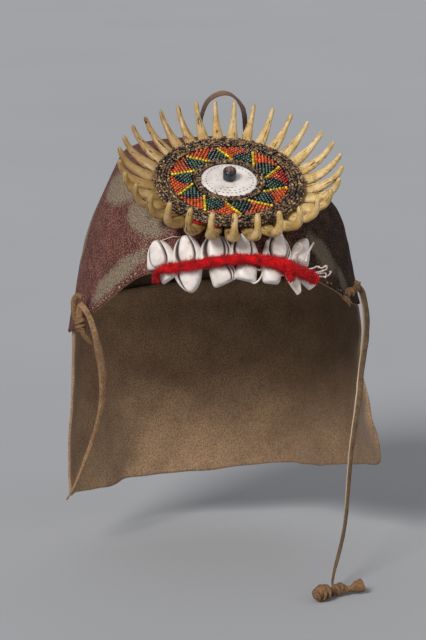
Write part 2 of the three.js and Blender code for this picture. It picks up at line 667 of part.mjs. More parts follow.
function makeDisc(emblem) {
  const seat = PLATE_TOP + CLEARANCE;
  const plate = [
    [0, 0], [CORE_RADIUS, 0], [CORE_RADIUS, PLATE_BASE], [PLATE_RADIUS, PLATE_BASE], [PLATE_RADIUS, PLATE_TOP],
    [BORDER_INNER - CLEARANCE, PLATE_TOP], [BORDER_INNER - CLEARANCE, FIELD_TOP],
    [INNER_BORDER_END + CLEARANCE, FIELD_TOP], [INNER_BORDER_END + CLEARANCE, PLATE_TOP], [0, PLATE_TOP],
  ];
  const cloth = [
    [CORE_RADIUS + CLEARANCE, CLOTH_BASE], [CLOTH_RADIUS, CLOTH_BASE],
    [CLOTH_RADIUS, CLOTH_BASE + CLOTH_WALL], [CORE_RADIUS + CLEARANCE, CLOTH_BASE + CLOTH_WALL],
    [CORE_RADIUS + CLEARANCE, CLOTH_BASE],
  ];
  const rising = (outline, radius, base, height) => outline.map(({ reach, rise }) => [
    radius * reach, base + height * rise,
  ]);
  const shell = rising(SHELL_DISC_OUTLINE, SHELL_DISC_RADIUS, seat, SHELL_DISC_WALL);
  const beadBase = seat + SHELL_DISC_WALL + CLEARANCE;
  const bead = rising(CENTRE_BEAD_OUTLINE, CENTRE_BEAD_RADIUS, beadBase, CENTRE_BEAD_HEIGHT);
  addPiece(emblem, 'beaded_disc', turned(plate), beadwork());
  addPiece(emblem, 'backing_cloth', turned(cloth), redCloth());
  addPiece(emblem, 'outer_bead_border',
    turned(ringOutline(BORDER_INNER, PLATE_RADIUS, seat, BORDER_HEIGHT)), beadwork());
  addPiece(emblem, 'inner_bead_border',
    turned(ringOutline(INNER_BORDER_START, INNER_BORDER_END, seat, BORDER_HEIGHT)), beadwork());
  addPiece(emblem, 'shell_disc', turned(shell), shellWhite());
  addPiece(emblem, 'centre_bead', turned(bead, BEAD_SIDES), darkGlass());
}

// One tusk along +X from under the plate: flat oval root, widest past the plate's edge, curved up to its tip.
// curl runs from 0 at the back of the ring to 1 at the front, where the tip turns back over the plate.
function tuskGeometry(curl, spacing) {
  const between = (name) => THREE.MathUtils.lerp(TUSK_AT_BACK[name], TUSK_AT_FRONT[name], curl);
  const root = CLEARANCE + TUSK_THICKNESS / 2;
  const course = new THREE.CubicBezierCurve(
    new THREE.Vector2(CORE_RADIUS + TUSK_TIP, root),
    new THREE.Vector2(PLATE_RADIUS * between('bellyReach'), root),
    new THREE.Vector2(TUSK_REACH * TUSK_BEND_REACH, root + TUSK_TIP_HEIGHT * between('bendRise')),
    new THREE.Vector2(TUSK_REACH - TUSK_FRONT_CURL * curl ** TUSK_CURL_POWER, TUSK_TIP_HEIGHT * between('tipRise')),
  );
  const rings = [];
  for (let k = 0; k <= TUSK_STEPS; k += 1) {
    const t = k / TUSK_STEPS;
    const centre = course.getPoint(t);
    const tangent = course.getTangent(t);
    const room = centre.x * radians(spacing) - CLEARANCE;
    const swell = THREE.MathUtils.lerp(TUSK_ROOT_SHARE, 1, Math.sin(Math.PI * Math.min(1, TUSK_SWELL_START + t)));
    const taper = t ** between('taperPower');
    const width = Math.min(room, THREE.MathUtils.lerp(TUSK_WIDTH * between('width') * swell, TUSK_TIP, taper));
    const belly = TUSK_BELLY * curl * Math.sin(Math.PI * t ** 2);
    const height = THREE.MathUtils.lerp(TUSK_THICKNESS, TUSK_TIP, t ** TUSK_THINNING) + belly;
    const ring = [];
    for (let i = 0; i < TUSK_SIDES; i += 1) {
      const angle = (2 * Math.PI * i) / TUSK_SIDES;
      const lift = (height / 2) * Math.sin(angle);
      ring.push(new THREE.Vector3(
        centre.x - tangent.y * lift,
        (width / 2) * Math.cos(angle),
        centre.y + tangent.x * lift,
      ));
    }
    rings.push(ring);
  }
  return ringBody(rings);
}

function makeTusks(emblem) {
  for (let i = 0; i < TUSK_COUNT; i += 1) {
    const turn = (2 * Math.PI * i) / TUSK_COUNT;
    const azimuth = THREE.MathUtils.radToDeg(turn + TUSK_CROWDING * Math.sin(turn)) + TUSK_PHASE;
    const spacing = (360 / TUSK_COUNT) * (1 + TUSK_CROWDING * Math.cos(turn));
    const curl = (1 + Math.cos(radians(azimuth))) / 2;
    const name = `tusk_${String(i + 1).padStart(2, '0')}`;
    const tusk = addPiece(emblem, name, tuskGeometry(curl, spacing), tuskIvory());
    tusk.rotation.z = radians(azimuth - 90);
  }
}

// One cut cowrie: an oval rim with a groove inside it and a low whorl dome in the middle.
// Its flat back is at z = 0 and it stands along +Y.
function shellGeometry(width, height) {
  const rings = [[new THREE.Vector3(0, 0, 0)]];
  for (const { reach, rise } of SHELL_PROFILE) {
    const ring = [];
    for (let i = 0; i < SHELL_SIDES; i += 1) {
      const angle = (2 * Math.PI * i) / SHELL_SIDES;
      const egg = 1 - SHELL_EGG * Math.sin(angle);
      ring.push(new THREE.Vector3(
        (reach * width * egg * Math.cos(angle)) / 2,
        (reach * height * Math.sin(angle)) / 2,
        SHELL_THICKNESS * rise,
      ));
    }
    rings.push(ring);
  }
  rings.push([new THREE.Vector3(0, 0, SHELL_THICKNESS)]);
  return ringBody(rings);
}

function makeShellRow(rowName, table) {
  table.forEach((shell, k) => {
    const width = SHELL_WIDTH * shell.width;
    const height = SHELL_HEIGHT * shell.height;
    const { point, side, up, out } = seatOnHood(shell.azimuth, CROWN_TOP - HOOD_HEIGHT * shell.drop);
    const holder = new THREE.Group();
    holder.position.copy(point).addScaledVector(out, 2 * CLEARANCE);
    holder.quaternion.setFromRotationMatrix(new THREE.Matrix4().makeBasis(side, up, out));
    const mesh = addPiece(holder, `${rowName}_${k + 1}`, shellGeometry(width, height), shellWhite());
    mesh.rotation.z = radians(shell.lean);
    hat.add(holder);
  });
}

// Wool strand: it lies over the thin edges of both shell rows.
function makeYarn() {
  const points = YARN_COURSE.map(({ azimuth, drop }) => {
    const { point, out } = seatOnHood(azimuth, CROWN_TOP - HOOD_HEIGHT * drop);
    return point.addScaledVector(out, SHELL_THICKNESS * YARN_ON_SHELL + 3 * CLEARANCE + YARN_DIAMETER / 2);
  });
  const radii = points.map((point, k) => (YARN_DIAMETER / 2) * (k < 2 ? YARN_TAIL_SHARE : 1));
  addPiece(hat, 'yarn', taperedTube(points, radii, YARN_SIDES, YARN_STEPS), redWool());
}

const asPoints = (route) => route.map(([x, y, z]) => new THREE.Vector3(x, y, z));

function makeKnot(name, route, steps) {
  const points = route.map(({ x, y, z }) => new THREE.Vector3(x, y, z));
  const radii = route.map(({ radius }) => KNOT_RADIUS * radius);
  addPiece(hat, name, taperedTube(points, radii, CORD_SIDES, steps), thongLeather());
}

function makeTies() {
  addPiece(hat, 'left_tie', cordTube(asPoints(LEFT_TIE_ROUTE), TIE_DIAMETER, LEFT_TIE_STEPS), thongLeather());
  makeKnot('left_knot', LEFT_KNOT_ROUTE, 12);
  addPiece(hat, 'right_tie', cordTube(asPoints(RIGHT_TIE_ROUTE), TIE_DIAMETER, RIGHT_TIE_STEPS), thongLeather());
  makeKnot('right_knot', RIGHT_KNOT_ROUTE, 8);
  makeKnot('end_knot', END_KNOT_ROUTE, 16);
}

makeHood();
makeNeckFlap();
makeHangingLoop();

const emblem = new THREE.Group();
const seat = emblemSeat();
emblem.position.copy(seat.centre);
emblem.quaternion.setFromRotationMatrix(seat.basis);
hat.add(emblem);
makeDisc(emblem);
makeTusks(emblem);

makeShellRow('shell_upper', UPPER_SHELLS);
makeShellRow('shell_lower', LOWER_SHELLS);
makeYarn();
makeTies();

export default hat;
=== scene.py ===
"""Beaded leather hat: the fine surfaces, materials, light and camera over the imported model.

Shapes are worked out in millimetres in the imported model's frame, +Z up with the face opening towards -Y,
and become metres when a mesh is made. An azimuth is in degrees about Z, from the front towards the right.
A drop share tells how far below the crown's top a place lies, as a share of the hood's height.
"""

import bpy
import numpy as np
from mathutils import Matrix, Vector


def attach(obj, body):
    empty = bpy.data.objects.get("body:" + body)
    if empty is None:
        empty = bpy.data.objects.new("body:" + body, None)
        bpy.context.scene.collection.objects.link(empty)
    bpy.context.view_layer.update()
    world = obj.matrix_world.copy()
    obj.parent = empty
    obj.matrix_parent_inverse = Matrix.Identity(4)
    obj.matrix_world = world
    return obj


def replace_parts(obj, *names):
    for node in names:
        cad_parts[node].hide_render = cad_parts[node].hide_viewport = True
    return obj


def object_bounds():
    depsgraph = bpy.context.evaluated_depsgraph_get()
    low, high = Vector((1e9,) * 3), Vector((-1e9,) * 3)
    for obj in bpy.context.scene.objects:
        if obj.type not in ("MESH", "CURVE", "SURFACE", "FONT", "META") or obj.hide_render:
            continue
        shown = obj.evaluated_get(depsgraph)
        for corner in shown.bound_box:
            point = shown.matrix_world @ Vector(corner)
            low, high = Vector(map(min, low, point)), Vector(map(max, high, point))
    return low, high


bl_info = {
    "name": "Beaded leather hat",
    "version": (1, 0, 0),
    "blender": (4, 5, 0),
    "location": "View3D > Sidebar > Hat",
    "description": "Fine surfaces and looks of a leather hood with a tusk-ringed beaded disc",
    "category": "Object",
}

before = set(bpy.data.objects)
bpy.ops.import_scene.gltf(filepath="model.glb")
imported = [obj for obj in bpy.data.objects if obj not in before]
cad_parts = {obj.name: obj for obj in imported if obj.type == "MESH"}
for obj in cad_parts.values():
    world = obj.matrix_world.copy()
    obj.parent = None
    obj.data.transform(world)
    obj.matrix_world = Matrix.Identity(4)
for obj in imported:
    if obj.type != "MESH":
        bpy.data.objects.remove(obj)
CAD_LOW, CAD_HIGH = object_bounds()

MM = 0.001


def numbers(text):
    """Rows of numbers from text, with commas between the rows."""
    return np.array([row.split() for row in text.split(",")], float)


def table(columns, text):
    """A table with named columns, each an array, from rows of numbers."""
    return dict(zip(columns.split(), numbers(text).T))


# Camera: the photograph's long side in pixels, its focal length in pixels, and where it looks
PHOTO_LONG_SIDE = 640
PHOTO_FOCAL = 3030
CAMERA_TARGET = (-1.0, -14.0, -114.7)
CAMERA_DISTANCE = 2000.0
CAMERA_ELEVATION = 11.4
CAMERA_CLIP = (0.05, 100)
SENSOR = 36.0

# Stage: the floor's half side and its gap under the hat in metres, and each light's place, softness in
# degrees and power
FLOOR_HALF = 30.0
FLOOR_GAP = 0.0008
LIGHTS = (("key_light", (-0.95, -1.7, 1.35), 20, 2.5), ("fill_light", (1.6, -1.6, 0.9), 50, 0.4))
SKY = "#c9ccd2"
SKY_POWER = 0.6

# Ties: the routes given, the thong's size, and its thickness as a share along the way
LEFT_TIE_ROUTE = numbers("""
    -86.6 -55.4 -95.6, -83 -58.4 -99.5, -79.8 -58 -106, -77.6 -56.4 -114, -76 -52 -123, -74.2 -47 -134,
    -73 -42 -147, -73 -38 -160, -74.6 -34 -172, -77.4 -31 -183, -81.4 -28 -195, -86 -26 -207.5,
    -90.6 -24 -219.5, -95 -22.5 -229.5, -98.4 -22 -235""")
RIGHT_TIE_ROUTE = numbers("""
    93.2 -47 -86.4, 95.4 -45.8 -89.4, 96.8 -43.8 -94.5, 98.1 -42.8 -101.5, 98.8 -41.8 -110,
    98.4 -41.2 -121, 97 -41.8 -132.5, 95.5 -43.5 -144, 94.4 -46 -156, 92.6 -49.4 -169, 90.6 -53 -182,
    88.8 -57.4 -194.6, 87.6 -62.4 -207, 86.4 -68 -219.4, 85.2 -74.6 -231.4, 83.4 -81.6 -241.6,
    80.6 -89 -251.4, 77.4 -97.4 -260.6, 75.6 -105.4 -266.4, 75.4 -110.4 -268.2""")
TIE_DIAMETER = 3.4
TIE_STEPS = 200
TIE_SIDES = 16
LEFT_TIE_LOOK = table("place size", """
    0 1.2, 0.1 1.2, 0.25 1.55, 0.4 1.65, 0.52 1.5, 0.64 1.1, 0.74 0.82, 1 0.5""")
RIGHT_TIE_LOOK = table("place size", "0 1.2, 0.2 1.3, 0.4 1.15, 0.6 0.95, 0.8 0.74, 1 0.7")
LEFT_TIE_LENGTH = 154.0
RIGHT_TIE_LENGTH = 207.0

# Knots: strands of thong by x, y, z and half width, and the turns wound round them: the strand's number,
# the shares along it where they start and end, the number of turns and the thong's size
LEFT_KNOT = [numbers(strand) for strand in (
    """
    -85.2 -57 -91 1.7, -88.4 -56.4 -90.2 1.9, -90.6 -55 -93.3 1.9, -91 -54.4 -98.5 1.8,
    -90.2 -54.6 -104.4 1.8, -88.2 -55 -109 1.4""",
    """
    -87.1 -53.5 -95.4 1.4, -87.5 -54.2 -100.6 2.5, -87.2 -55 -105.6 2.7, -86.6 -55.4 -110.9 2.5,
    -86.3 -55 -113.6 1.6""",
    """
    -88 -55.4 -111.6 1.2, -85.8 -56.5 -113 1.6, -84.1 -56 -116.4 1.7, -81.6 -54.5 -119.7 1.7,
    -78.8 -52 -122.6 1.6, -76.6 -50 -125.3 1.2""",
)]
RIGHT_KNOT = [numbers(strand) for strand in (
    """
    84 -55.6 -87.6 1.4, 87.4 -54.2 -88.2 2.5, 90 -51.6 -87.6 2.1, 92.4 -48.6 -85.4 2.2,
    91.4 -46 -82.6 1.2""",
    "79.5 -57.6 -87.4 0.3, 82.8 -56.6 -89.8 0.8, 86.1 -55.4 -92.4 0.9, 88.7 -54.4 -95.6 0.4",
    "81 -56.8 -90.2 0.3, 84 -55.8 -92.6 0.7, 86.6 -54.8 -95.4 0.7, 87.6 -54.2 -97.8 0.3",
)]
END_KNOT = [numbers(strand) for strand in (
    """
    62.6 -128 -269.6 2.6, 66.4 -126.4 -268.6 4.2, 70.6 -123.4 -268.8 4, 74.4 -118.4 -270.2 2,
    78 -114.6 -269.6 3.4, 82 -113 -269.8 3.2, 85.2 -111.8 -270.8 1.7""",
    "84 -112 -270.6 1.6, 87.4 -110.6 -270.2 2.6, 90.8 -109 -269.4 3.6, 94.4 -107.2 -269 4.4",
)]
STRAND_STEPS = 70
WOUND_STEPS = 300
KNOTS = (
    ("left_knot", LEFT_KNOT, ((1, 0.6, 0.95, 2.3, 2.3), (1, 0.72, 0.99, -1.4, 1.9))),
    ("right_knot", RIGHT_KNOT, ((0, 0.1, 0.42, 1.8, 2.0), (0, 0.6, 0.85, 1.2, 1.9))),
    ("end_knot", END_KNOT, ((0, 0.06, 0.36, 2.4, 2.8), (0, 0.52, 0.84, 2.2, 2.2))),
)

# Hood: its plan, and its profile's corners as shares of the plan's reach and of the height
HOOD_HALF_WIDTH = 95.5
HOOD_FRONT_REACH = 109.0
HOOD_BACK_REACH = 92.0
HOOD_HEIGHT = 127.0
HOOD_WALL = 2.0
HOOD_FILLETS = (9.0, 7.0, 12.0)
HOOD_STEPS = (5, 22, 8)
BEND_STEPS = 7
LAST_STEPS = 24
CROWN_TOP = HOOD_WALL
HOOD_TURNS = 288
HOOD = table("azimuth crown_reach crown_drop brow_reach brow_drop waist_reach waist_drop rim_reach rim_drop",
             """
    0 0.13 0.004 0.88 0.32 0.958 0.378 0.995 0.508, 25 0.14 0.004 0.865 0.289 0.975 0.38 1.05 0.528,
    45 0.19 0.007 0.67 0.157 0.905 0.37 1.035 0.655, 65 0.25 0.01 0.62 0.14 0.86 0.37 1 0.78,
    90 0.29 0.01 0.65 0.175 0.88 0.38 1.015 0.85, 135 0.35 0.008 0.68 0.13 0.92 0.4 1 0.925,
    180 0.38 0.006 0.67 0.06 0.92 0.4 1 0.96, 225 0.38 0.004 0.66 0.05 0.91 0.43 1 0.985,
    270 0.34 0 0.63 0.04 0.885 0.46 1.02 1, 295 0.27 0 0.62 0.035 0.86 0.36 0.99 0.885,
    315 0.19 0 0.67 0.1 0.915 0.38 0.985 0.745, 335 0.14 0 0.86 0.25 0.95 0.35 1 0.56""")

# Worn patches of the paint: middle by azimuth and drop share, half sizes in mm along and across, lean
WORN = numbers("""
    -58 0.2 32 9 0, -29 0.3 19 8 19, -40 0.6 32 6 -38, -84 0.48 22 6 90, 46 0.5 18 8 43,
    60 0.68 14 7 60""")

# Rim stitches: the stretches of azimuth with their spacing, and the share of stitches that are left
STITCHED = ((-67, -22, 1.9), (40, 66, 2.6))
STITCHES_LEFT = 0.72

# Neck flap: its plan at the foot, drop, how late it flares and its folds, at azimuths of the rim
FLAP_WALL = 1.8
FLAP_TUCK = 14.0
FLAP_HALF_WIDTH = 98.0
FLAP_DEPTH = 62.0
FLAP_DROP = 235.0
FLAP_FOLD = 3.0
FLAP_GAP = 0.6
FLAP_STAND = 3.3
FLAP_COLUMNS = 150
FLAP_TUCK_ROWS = 4
FLAP_ROWS = 60
FLAP = table("azimuth side back drop flare fold", """
    279 -1 -0.22 1 1 0, 262 -0.93 0.06 1.005 1 0.5, 240 -0.8 0.38 1.015 1 -0.6,
    212 -0.48 0.82 1.01 1 1, 180 0 1 0.995 1 -0.8, 148 0.46 0.86 0.975 1 1, 120 0.8 0.42 0.95 1.2 -0.6,
    100 1 0.1 0.925 1.5 0.4, 88 1.1 -0.26 0.9 1.9 0.1, 83 1.13 -0.4 0.835 2 0""")

# Hanging loop: its arch, and the strap's width and how much paler it is along the way, palest over its top
LOOP_WIDTH = 30.0
LOOP_HEIGHT = 33.0
LOOP_FOOT = 1.9
LOOP_STRAP_WIDTH = 3.2
LOOP_STRAP_WALL = 1.6
LOOP_SIDES = 14
LOOP_X = 5.5
LOOP_Y = 8.0
LOOP = table("side rise width pale", """
    -1 0 0.8 0, -0.96 0.45 0.85 0, -0.66 0.83 0.95 0.5, -0.05 1 1.1 1, 0.5 0.92 0.6 0.5,
    0.9 0.62 1 0.1, 1 0.12 0.95 0, 1 0 0.8 0""")

# Emblem
PLATE_RADIUS = 47.5
PLATE_WALL = 1.0
PLATE_BEVEL = 0.3
CORE_RADIUS = 33.5
CORE_BEVEL = 0.5
POLE = 0.01
CLOTH_RADIUS = 45.6
CLOTH_WALL = 0.8
BORDER_WIDTH = 9.6
FIELD_HEIGHT = 1.0
FIELD_STEP = 0.15
INNER_BORDER_WIDTH = 4.6
SHELL_DISC_RADIUS = 18.0
SHELL_DISC_WALL = 2.0
CENTRE_BEAD_RADIUS = 4.3
CENTRE_BEAD_HEIGHT = 8.0
CLEARANCE = 0.3
TUSK_COUNT = 31
TUSK_THICKNESS = 5.6
TUSK_RISE_ROOM = 1.7
TUSK_WIDTH = 10.4
TUSK_TIP = 2.4
TUSK_REACH = 76.0
TUSK_TIP_HEIGHT = 21.0
TUSK_FRONT_CURL = 18.0
TUSK_PHASE = 4.0
TUSK_CROWDING = 0.17
CLOTH_BASE = TUSK_THICKNESS + TUSK_RISE_ROOM + CLEARANCE
PLATE_BASE = CLOTH_BASE + CLOTH_WALL + CLEARANCE
PLATE_TOP = PLATE_BASE + PLATE_WALL
FIELD_TOP = PLATE_TOP + FIELD_HEIGHT
BORDER_INNER = PLATE_RADIUS - BORDER_WIDTH
INNER_BORDER_START = SHELL_DISC_RADIUS + CLEARANCE
INNER_BORDER_END = INNER_BORDER_START + INNER_BORDER_WIDTH

# A tusk at the back and at the front of the ring: reach of its belly as a share of the plate's radius, rise
# of its bend and tip as shares of the tip's height, width as a share, how late its width tapers and to what
TUSK_LOOK = table("belly bend tip width taper end", "1.1 0.24 1 0.94 1.5 2.4, 1.19 0.34 1.28 0.93 3 3.6")

# Red cloth: tongues of its frayed edge by reach, turn and width in degrees
CLOTH_TONGUES = ((3.6, 203, 6), (3.2, 189, 3))

# Shell disc: its marks are broken rings, by reach, width, first and last turn, dashes in a full ring and the
# filled share of each, and one spot by reach and turn with their widths
SHELL_DISC_MARKS = numbers("15 0.34 0 360 34 0.45, 12.2 0.3 120 215 24 0.4, 9.4 0.3 150 215 20 0.4")
SHELL_DISC_SPOT = (16.6, 0.5, 210, 4.5)

# Centre bead: its outline as shares of its radius and height; the peg starts at the eighth point
CENTRE_BEAD = numbers("0.02 0, 0.86 0, 0.97 0.06, 1 0.2, 1 0.72, 0.94 0.84, 0.66 0.9, 0.52 0.9, 0.5 0.98, "
                      "0.4 1.03, 0.02 1.05")
PEG_START = 7

# Bead field: ten repeats, each turned from the one before by the same angle
REPEATS = 10
REPEAT_TURN = 360.0 / REPEATS
YELLOW_PHASE = -5.0
YELLOW_SWEEP = 16.0
YELLOW, ORANGE, RED, BLACK, GREEN = range(5)
BEAD_COLOURS = ("#e6c81a", "#cc4f0c", "#8f1410", "#0c0f10", "#123f29")
BORDER_TINTS = ("#2c1b10", "#674a30", "#96724a", "#1d120b", "#7a5936", "#c09b66")
BORDER_TINT_SHARES = (0.2, 0.25, 0.17, 0.13, 0.2, 0.05)
# Nearly black ground under the border strands, so that the gaps between them read dark: painted shade.
BORDER_GAP_SHADE = "#0f0a08"
GLASS_GLINT = "#e9efee"
STRAND_GLINT = "#f3dcae"
STRAND_PITCH = 1.5
STRAND_LEAN = 40
BEAD_SPACING = 1.02
RED_REPEAT = 2

# Cowries: place by azimuth and drop share, lean in degrees, size as shares of a whole shell, squareness of
# the outline, how much its top is narrower, and how many thin rims stand beside the dome at each side
SHELL_WIDTH = 18.4
SHELL_HEIGHT = 20.0
SHELL_THICKNESS = 6.0
SHELL_LIFT = 0.6
SHELL_EDGE = 0.45
SLIT_DEPTH = 3.4
SHELLS = {
    "upper": numbers("""
    -18.8 0.45 18 0.9 0.9 2.1 0.28 1 1, -9.3 0.424 10 0.9 0.94 2.1 0.26 2 1,
    0.4 0.415 5 0.98 0.9 2.2 0.24 2 2, 9.6 0.412 0 0.84 0.88 2.1 0.32 1 1,
    21.4 0.418 -12 0.86 0.94 2.1 0.36 1 2, 30.4 0.455 -38 0.62 0.95 2 0.36 0 0"""),
    "lower": numbers("""
    -15.6 0.552 38 0.5 0.34 3 0.2 0 0, -8.2 0.566 14 0.8 0.84 2.1 -0.36 1 0,
    2.8 0.535 26 0.84 0.66 3.6 0.12 0 2, 10.2 0.53 -14 0.7 0.54 4.6 0.1 0 0,
    18.2 0.542 -10 0.66 0.62 4 -0.16 0 0, 25.2 0.59 6 0.34 0.82 1.6 -0.62 0 0,
    30 0.6 40 0.25 0.5 3.4 0 0 0"""),
}

# Wool: the strand's course over the shells, and the two short ends it splits into at the right, by azimuth
# and drop share; then how thick the strand and its ends are along the way
YARN_DIAMETER = 7.6
YARN_CORE = YARN_DIAMETER * 0.7
HAIR_LENGTH = 2.3
HAIR_WIDTH = 0.17
YARN_STAND_OFF = SHELL_THICKNESS * 0.85 + 3 * CLEARANCE + YARN_DIAMETER / 2
YARN = [numbers(course) for course in (
    """
    -17.3 0.587, -17.8 0.554, -16.2 0.526, -13 0.516, -9.8 0.506, -6.7 0.498, -3.3 0.489, -0.2 0.482,
    3.2 0.477, 6.3 0.475, 9.3 0.474, 11.9 0.477, 15.4 0.487, 18.3 0.5, 21.5 0.521, 24.9 0.548,
    28.1 0.576, 30.3 0.6""",
    "19.7 0.514, 21.3 0.54, 22.2 0.569, 22.5 0.593",
    "24.9 0.546, 27.5 0.574, 29.3 0.597, 29.5 0.615",
)]
YARN_LOOK = table("place size", "0 0.5, 0.08 0.62, 0.13 0.98, 0.62 1.1, 0.8 1.5, 1 1.1")
YARN_END_LOOK = table("place size", "0 0.8, 0.5 0.75, 1 0.5")

# Loose thread ends at the right of the wool and round the shells: how far they stand off the hood in mm,
# thickness as a share, and course by azimuth and drop share. The first four are knotted
THREADS = (
    (7.7, 1, "28.5 0.547, 30.4 0.547, 32.6 0.542, 34.3 0.553, 36.5 0.55"),
    (7.2, 1, "29.4 0.57, 33 0.568, 34.8 0.567, 37.1 0.563, 38.1 0.551"),
    (6.2, 1, "31.5 0.572, 35.3 0.576, 36.8 0.582, 37.4 0.595, 38.9 0.592, 39.9 0.582"),
    (6.2, 1, "30.3 0.584, 33.5 0.589, 36.5 0.598"),
    (0.8, 0.4, "-23.1 0.436, -21.3 0.408, -18 0.384, -14.5 0.37, -11.7 0.367"),
    (7.4, 1.5, "23.6 0.498, 25.6 0.469, 27.8 0.447, 27.5 0.426"),
    (1.9, 1.3, "12.6 0.511, 14.2 0.521, 15.5 0.517, 15 0.545, 13.7 0.572, 12.4 0.581, 11.3 0.571"),
    (4.2, 1, "20.4 0.559, 21.8 0.551, 22.5 0.543, 22.8 0.576"),
    (6.8, 1.4, "28.5 0.51, 31 0.469, 33.8 0.436"),
)
KNOTTED_THREADS = 4


def unit(vectors):
    """The vectors at length one."""
    return vectors / np.maximum(np.linalg.norm(vectors, axis=-1, keepdims=True), 1e-12)


def bell(value, middle, width):
    """A bump of 1 at the middle that falls off by the square of the distance, as a normal curve does."""
    return np.exp(-((value - middle) / width) ** 2)


def ramp(value, start, span):
    """A straight rise from 0 at the start to 1 one span further, held at both ends."""
    return np.clip((value - start) / span, 0, 1)


def circle(sides):
    """Angles at even steps round a full turn."""
    return np.linspace(0, 2 * np.pi, sides, endpoint=False)


def around(rows, column, azimuth):
    """A column's value at azimuths, by smooth cubic steps between the rows, round the whole circle."""
    angles = rows["azimuth"]
    values = rows[column]
    count = len(angles)
    turn = np.mod(azimuth, 360.0)
    index = np.searchsorted(angles, turn, side="right") - 1

    def angle(k):
        return angles[np.mod(k, count)] + 360.0 * np.floor_divide(k, count)

    def slope(k):
        return (values[np.mod(k + 1, count)] - values[np.mod(k - 1, count)]) / (angle(k + 1) - angle(k - 1))

    start = values[np.mod(index, count)]
    rise = values[np.mod(index + 1, count)] - start
    span = angle(index + 1) - angle(index)
    t = (turn - angle(index)) / span
    a = slope(index) * span - rise
    b = rise - slope(index + 1) * span
    return start + rise * t + t * (1 - t) * (a * (1 - t) + b * t)


def along(rows, column, share):
    """A column's value at shares of the way along the rows, by smooth cubic steps between them."""
    values = rows[column]
    last = len(values) - 1
    place = np.asarray(share) * last
    index = np.minimum(np.floor(place).astype(int), last - 1)
    t = place - index
    before = values[np.maximum(index - 1, 0)]
    start = values[index]
    end = values[index + 1]
    after = values[np.minimum(index + 2, last)]
    slope_in = (end - before) / 2
    slope_out = (after - start) / 2
    return (start * (1 - t) ** 2 * (1 + 2 * t) + end * t ** 2 * (3 - 2 * t)
            + slope_in * t * (1 - t) ** 2 - slope_out * t ** 2 * (1 - t))


def ripple(points, size, seed, terms=9):
    """Smooth unevenness from about -1 to 1 at points: the mean of sine waves about `size` mm long."""
    rng = np.random.default_rng(seed)
    waves = unit(rng.normal(size=(terms, 3))) * (2 * np.pi / (size * rng.uniform(0.6, 1.7, (terms, 1))))
    return np.sin(points @ waves.T + rng.uniform(0, 2 * np.pi, terms)).mean(-1) * 1.8


def grid_faces(rows, columns, wrap=True, closed=False):
    """Quads of a grid of points numbered row by row; wrap joins the last column to the first one, and closed
    the last row to the first."""
    j = np.arange(rows if closed else rows - 1)[:, None]
    i = np.arange(columns if wrap else columns - 1)[None, :]
    after = (j + 1) % rows
    k = (i + 1) % columns
    corners = [j * columns + i, after * columns + i, after * columns + k, j * columns + k]
    return np.stack(corners, -1).reshape(-1, 4)


def outward(points, faces):
    """The faces of a closed surface, all turned over if they face inwards."""
    volume = 0.0
    for group in faces:
        for k in range(1, group.shape[1] - 1):
            across = np.cross(points[group[:, k]], points[group[:, k + 1]])
            volume += np.einsum("ij,ij->", points[group[:, 0]], across)
    return faces if volume > 0 else [group[:, ::-1] for group in faces]


def ring_body(rings):
    """A closed body from rings of points, (ring, point, 3), with a fan of triangles over each end."""
    count, sides, _ = rings.shape
    points = np.concatenate([rings.reshape(-1, 3), [rings[0].mean(0)], [rings[-1].mean(0)]])
    i = np.arange(sides)
    k = (i + 1) % sides
    last = (count - 1) * sides
    start = np.stack([i, k, np.full(sides, count * sides)], -1)
    end = np.stack([last + k, last + i, np.full(sides, count * sides + 1)], -1)
    return points, outward(points, [grid_faces(count, sides), np.concatenate([start, end])])


def closed_ring(rings):
    """A ring-shaped body: the last ring of points joins the first."""
    points = rings.reshape(-1, 3)
    return points, outward(points, [grid_faces(*rings.shape[:2], closed=True)])


def capped(values, start=0, end=0):
    """Values at the points of a ring body's rings, followed by those of its two end points."""
    return np.concatenate([np.ravel(values), [start, end]])


def sheet_body(outer, inner):
    """A closed sheet from an outer and an inner grid of points, joined round their edges."""
    rows, columns, _ = outer.shape
    points = np.concatenate([outer.reshape(-1, 3), inner.reshape(-1, 3)])
    front = grid_faces(rows, columns, wrap=False)
    back = front[:, ::-1] + rows * columns
    order = np.arange(rows * columns).reshape(rows, columns)
    border = np.concatenate([order[0, :-1], order[:-1, -1], order[-1, :0:-1], order[:0:-1, 0]])
    following = np.roll(border, -1)
    wall = np.stack([border, following, following + rows * columns, border + rows * columns], -1)
    return points, outward(points, [front, back, wall])


def repeated(points, faces, places, axes):
    """One shape copied to every place; axes holds the directions of its X, Y and Z for each copy."""
    copies = np.einsum("pk,nkc->npc", points, axes) + places[:, None, :]
    shift = np.arange(len(places))[:, None, None] * len(points)
    groups = [(group[None] + shift).reshape(-1, group.shape[1]) for group in faces]
    return copies.reshape(-1, 3), groups


def joined(bodies):
    """Several bodies, each points and faces, as one."""
    points = []
    faces = []
    count = 0
    for body_points, body_faces in bodies:
        points.append(body_points)
        faces.extend(group + count for group in body_faces)
        count += len(body_points)
    return np.concatenate(points), faces


def even(line, count):
    """Points at even steps along a line of points."""
    steps = np.linalg.norm(np.diff(line, axis=0), axis=1)
    lengths = np.concatenate([[0], np.cumsum(steps)])
    places = np.linspace(0, lengths[-1], count)
    return np.stack([np.interp(places, lengths, line[:, k]) for k in range(line.shape[1])], -1)


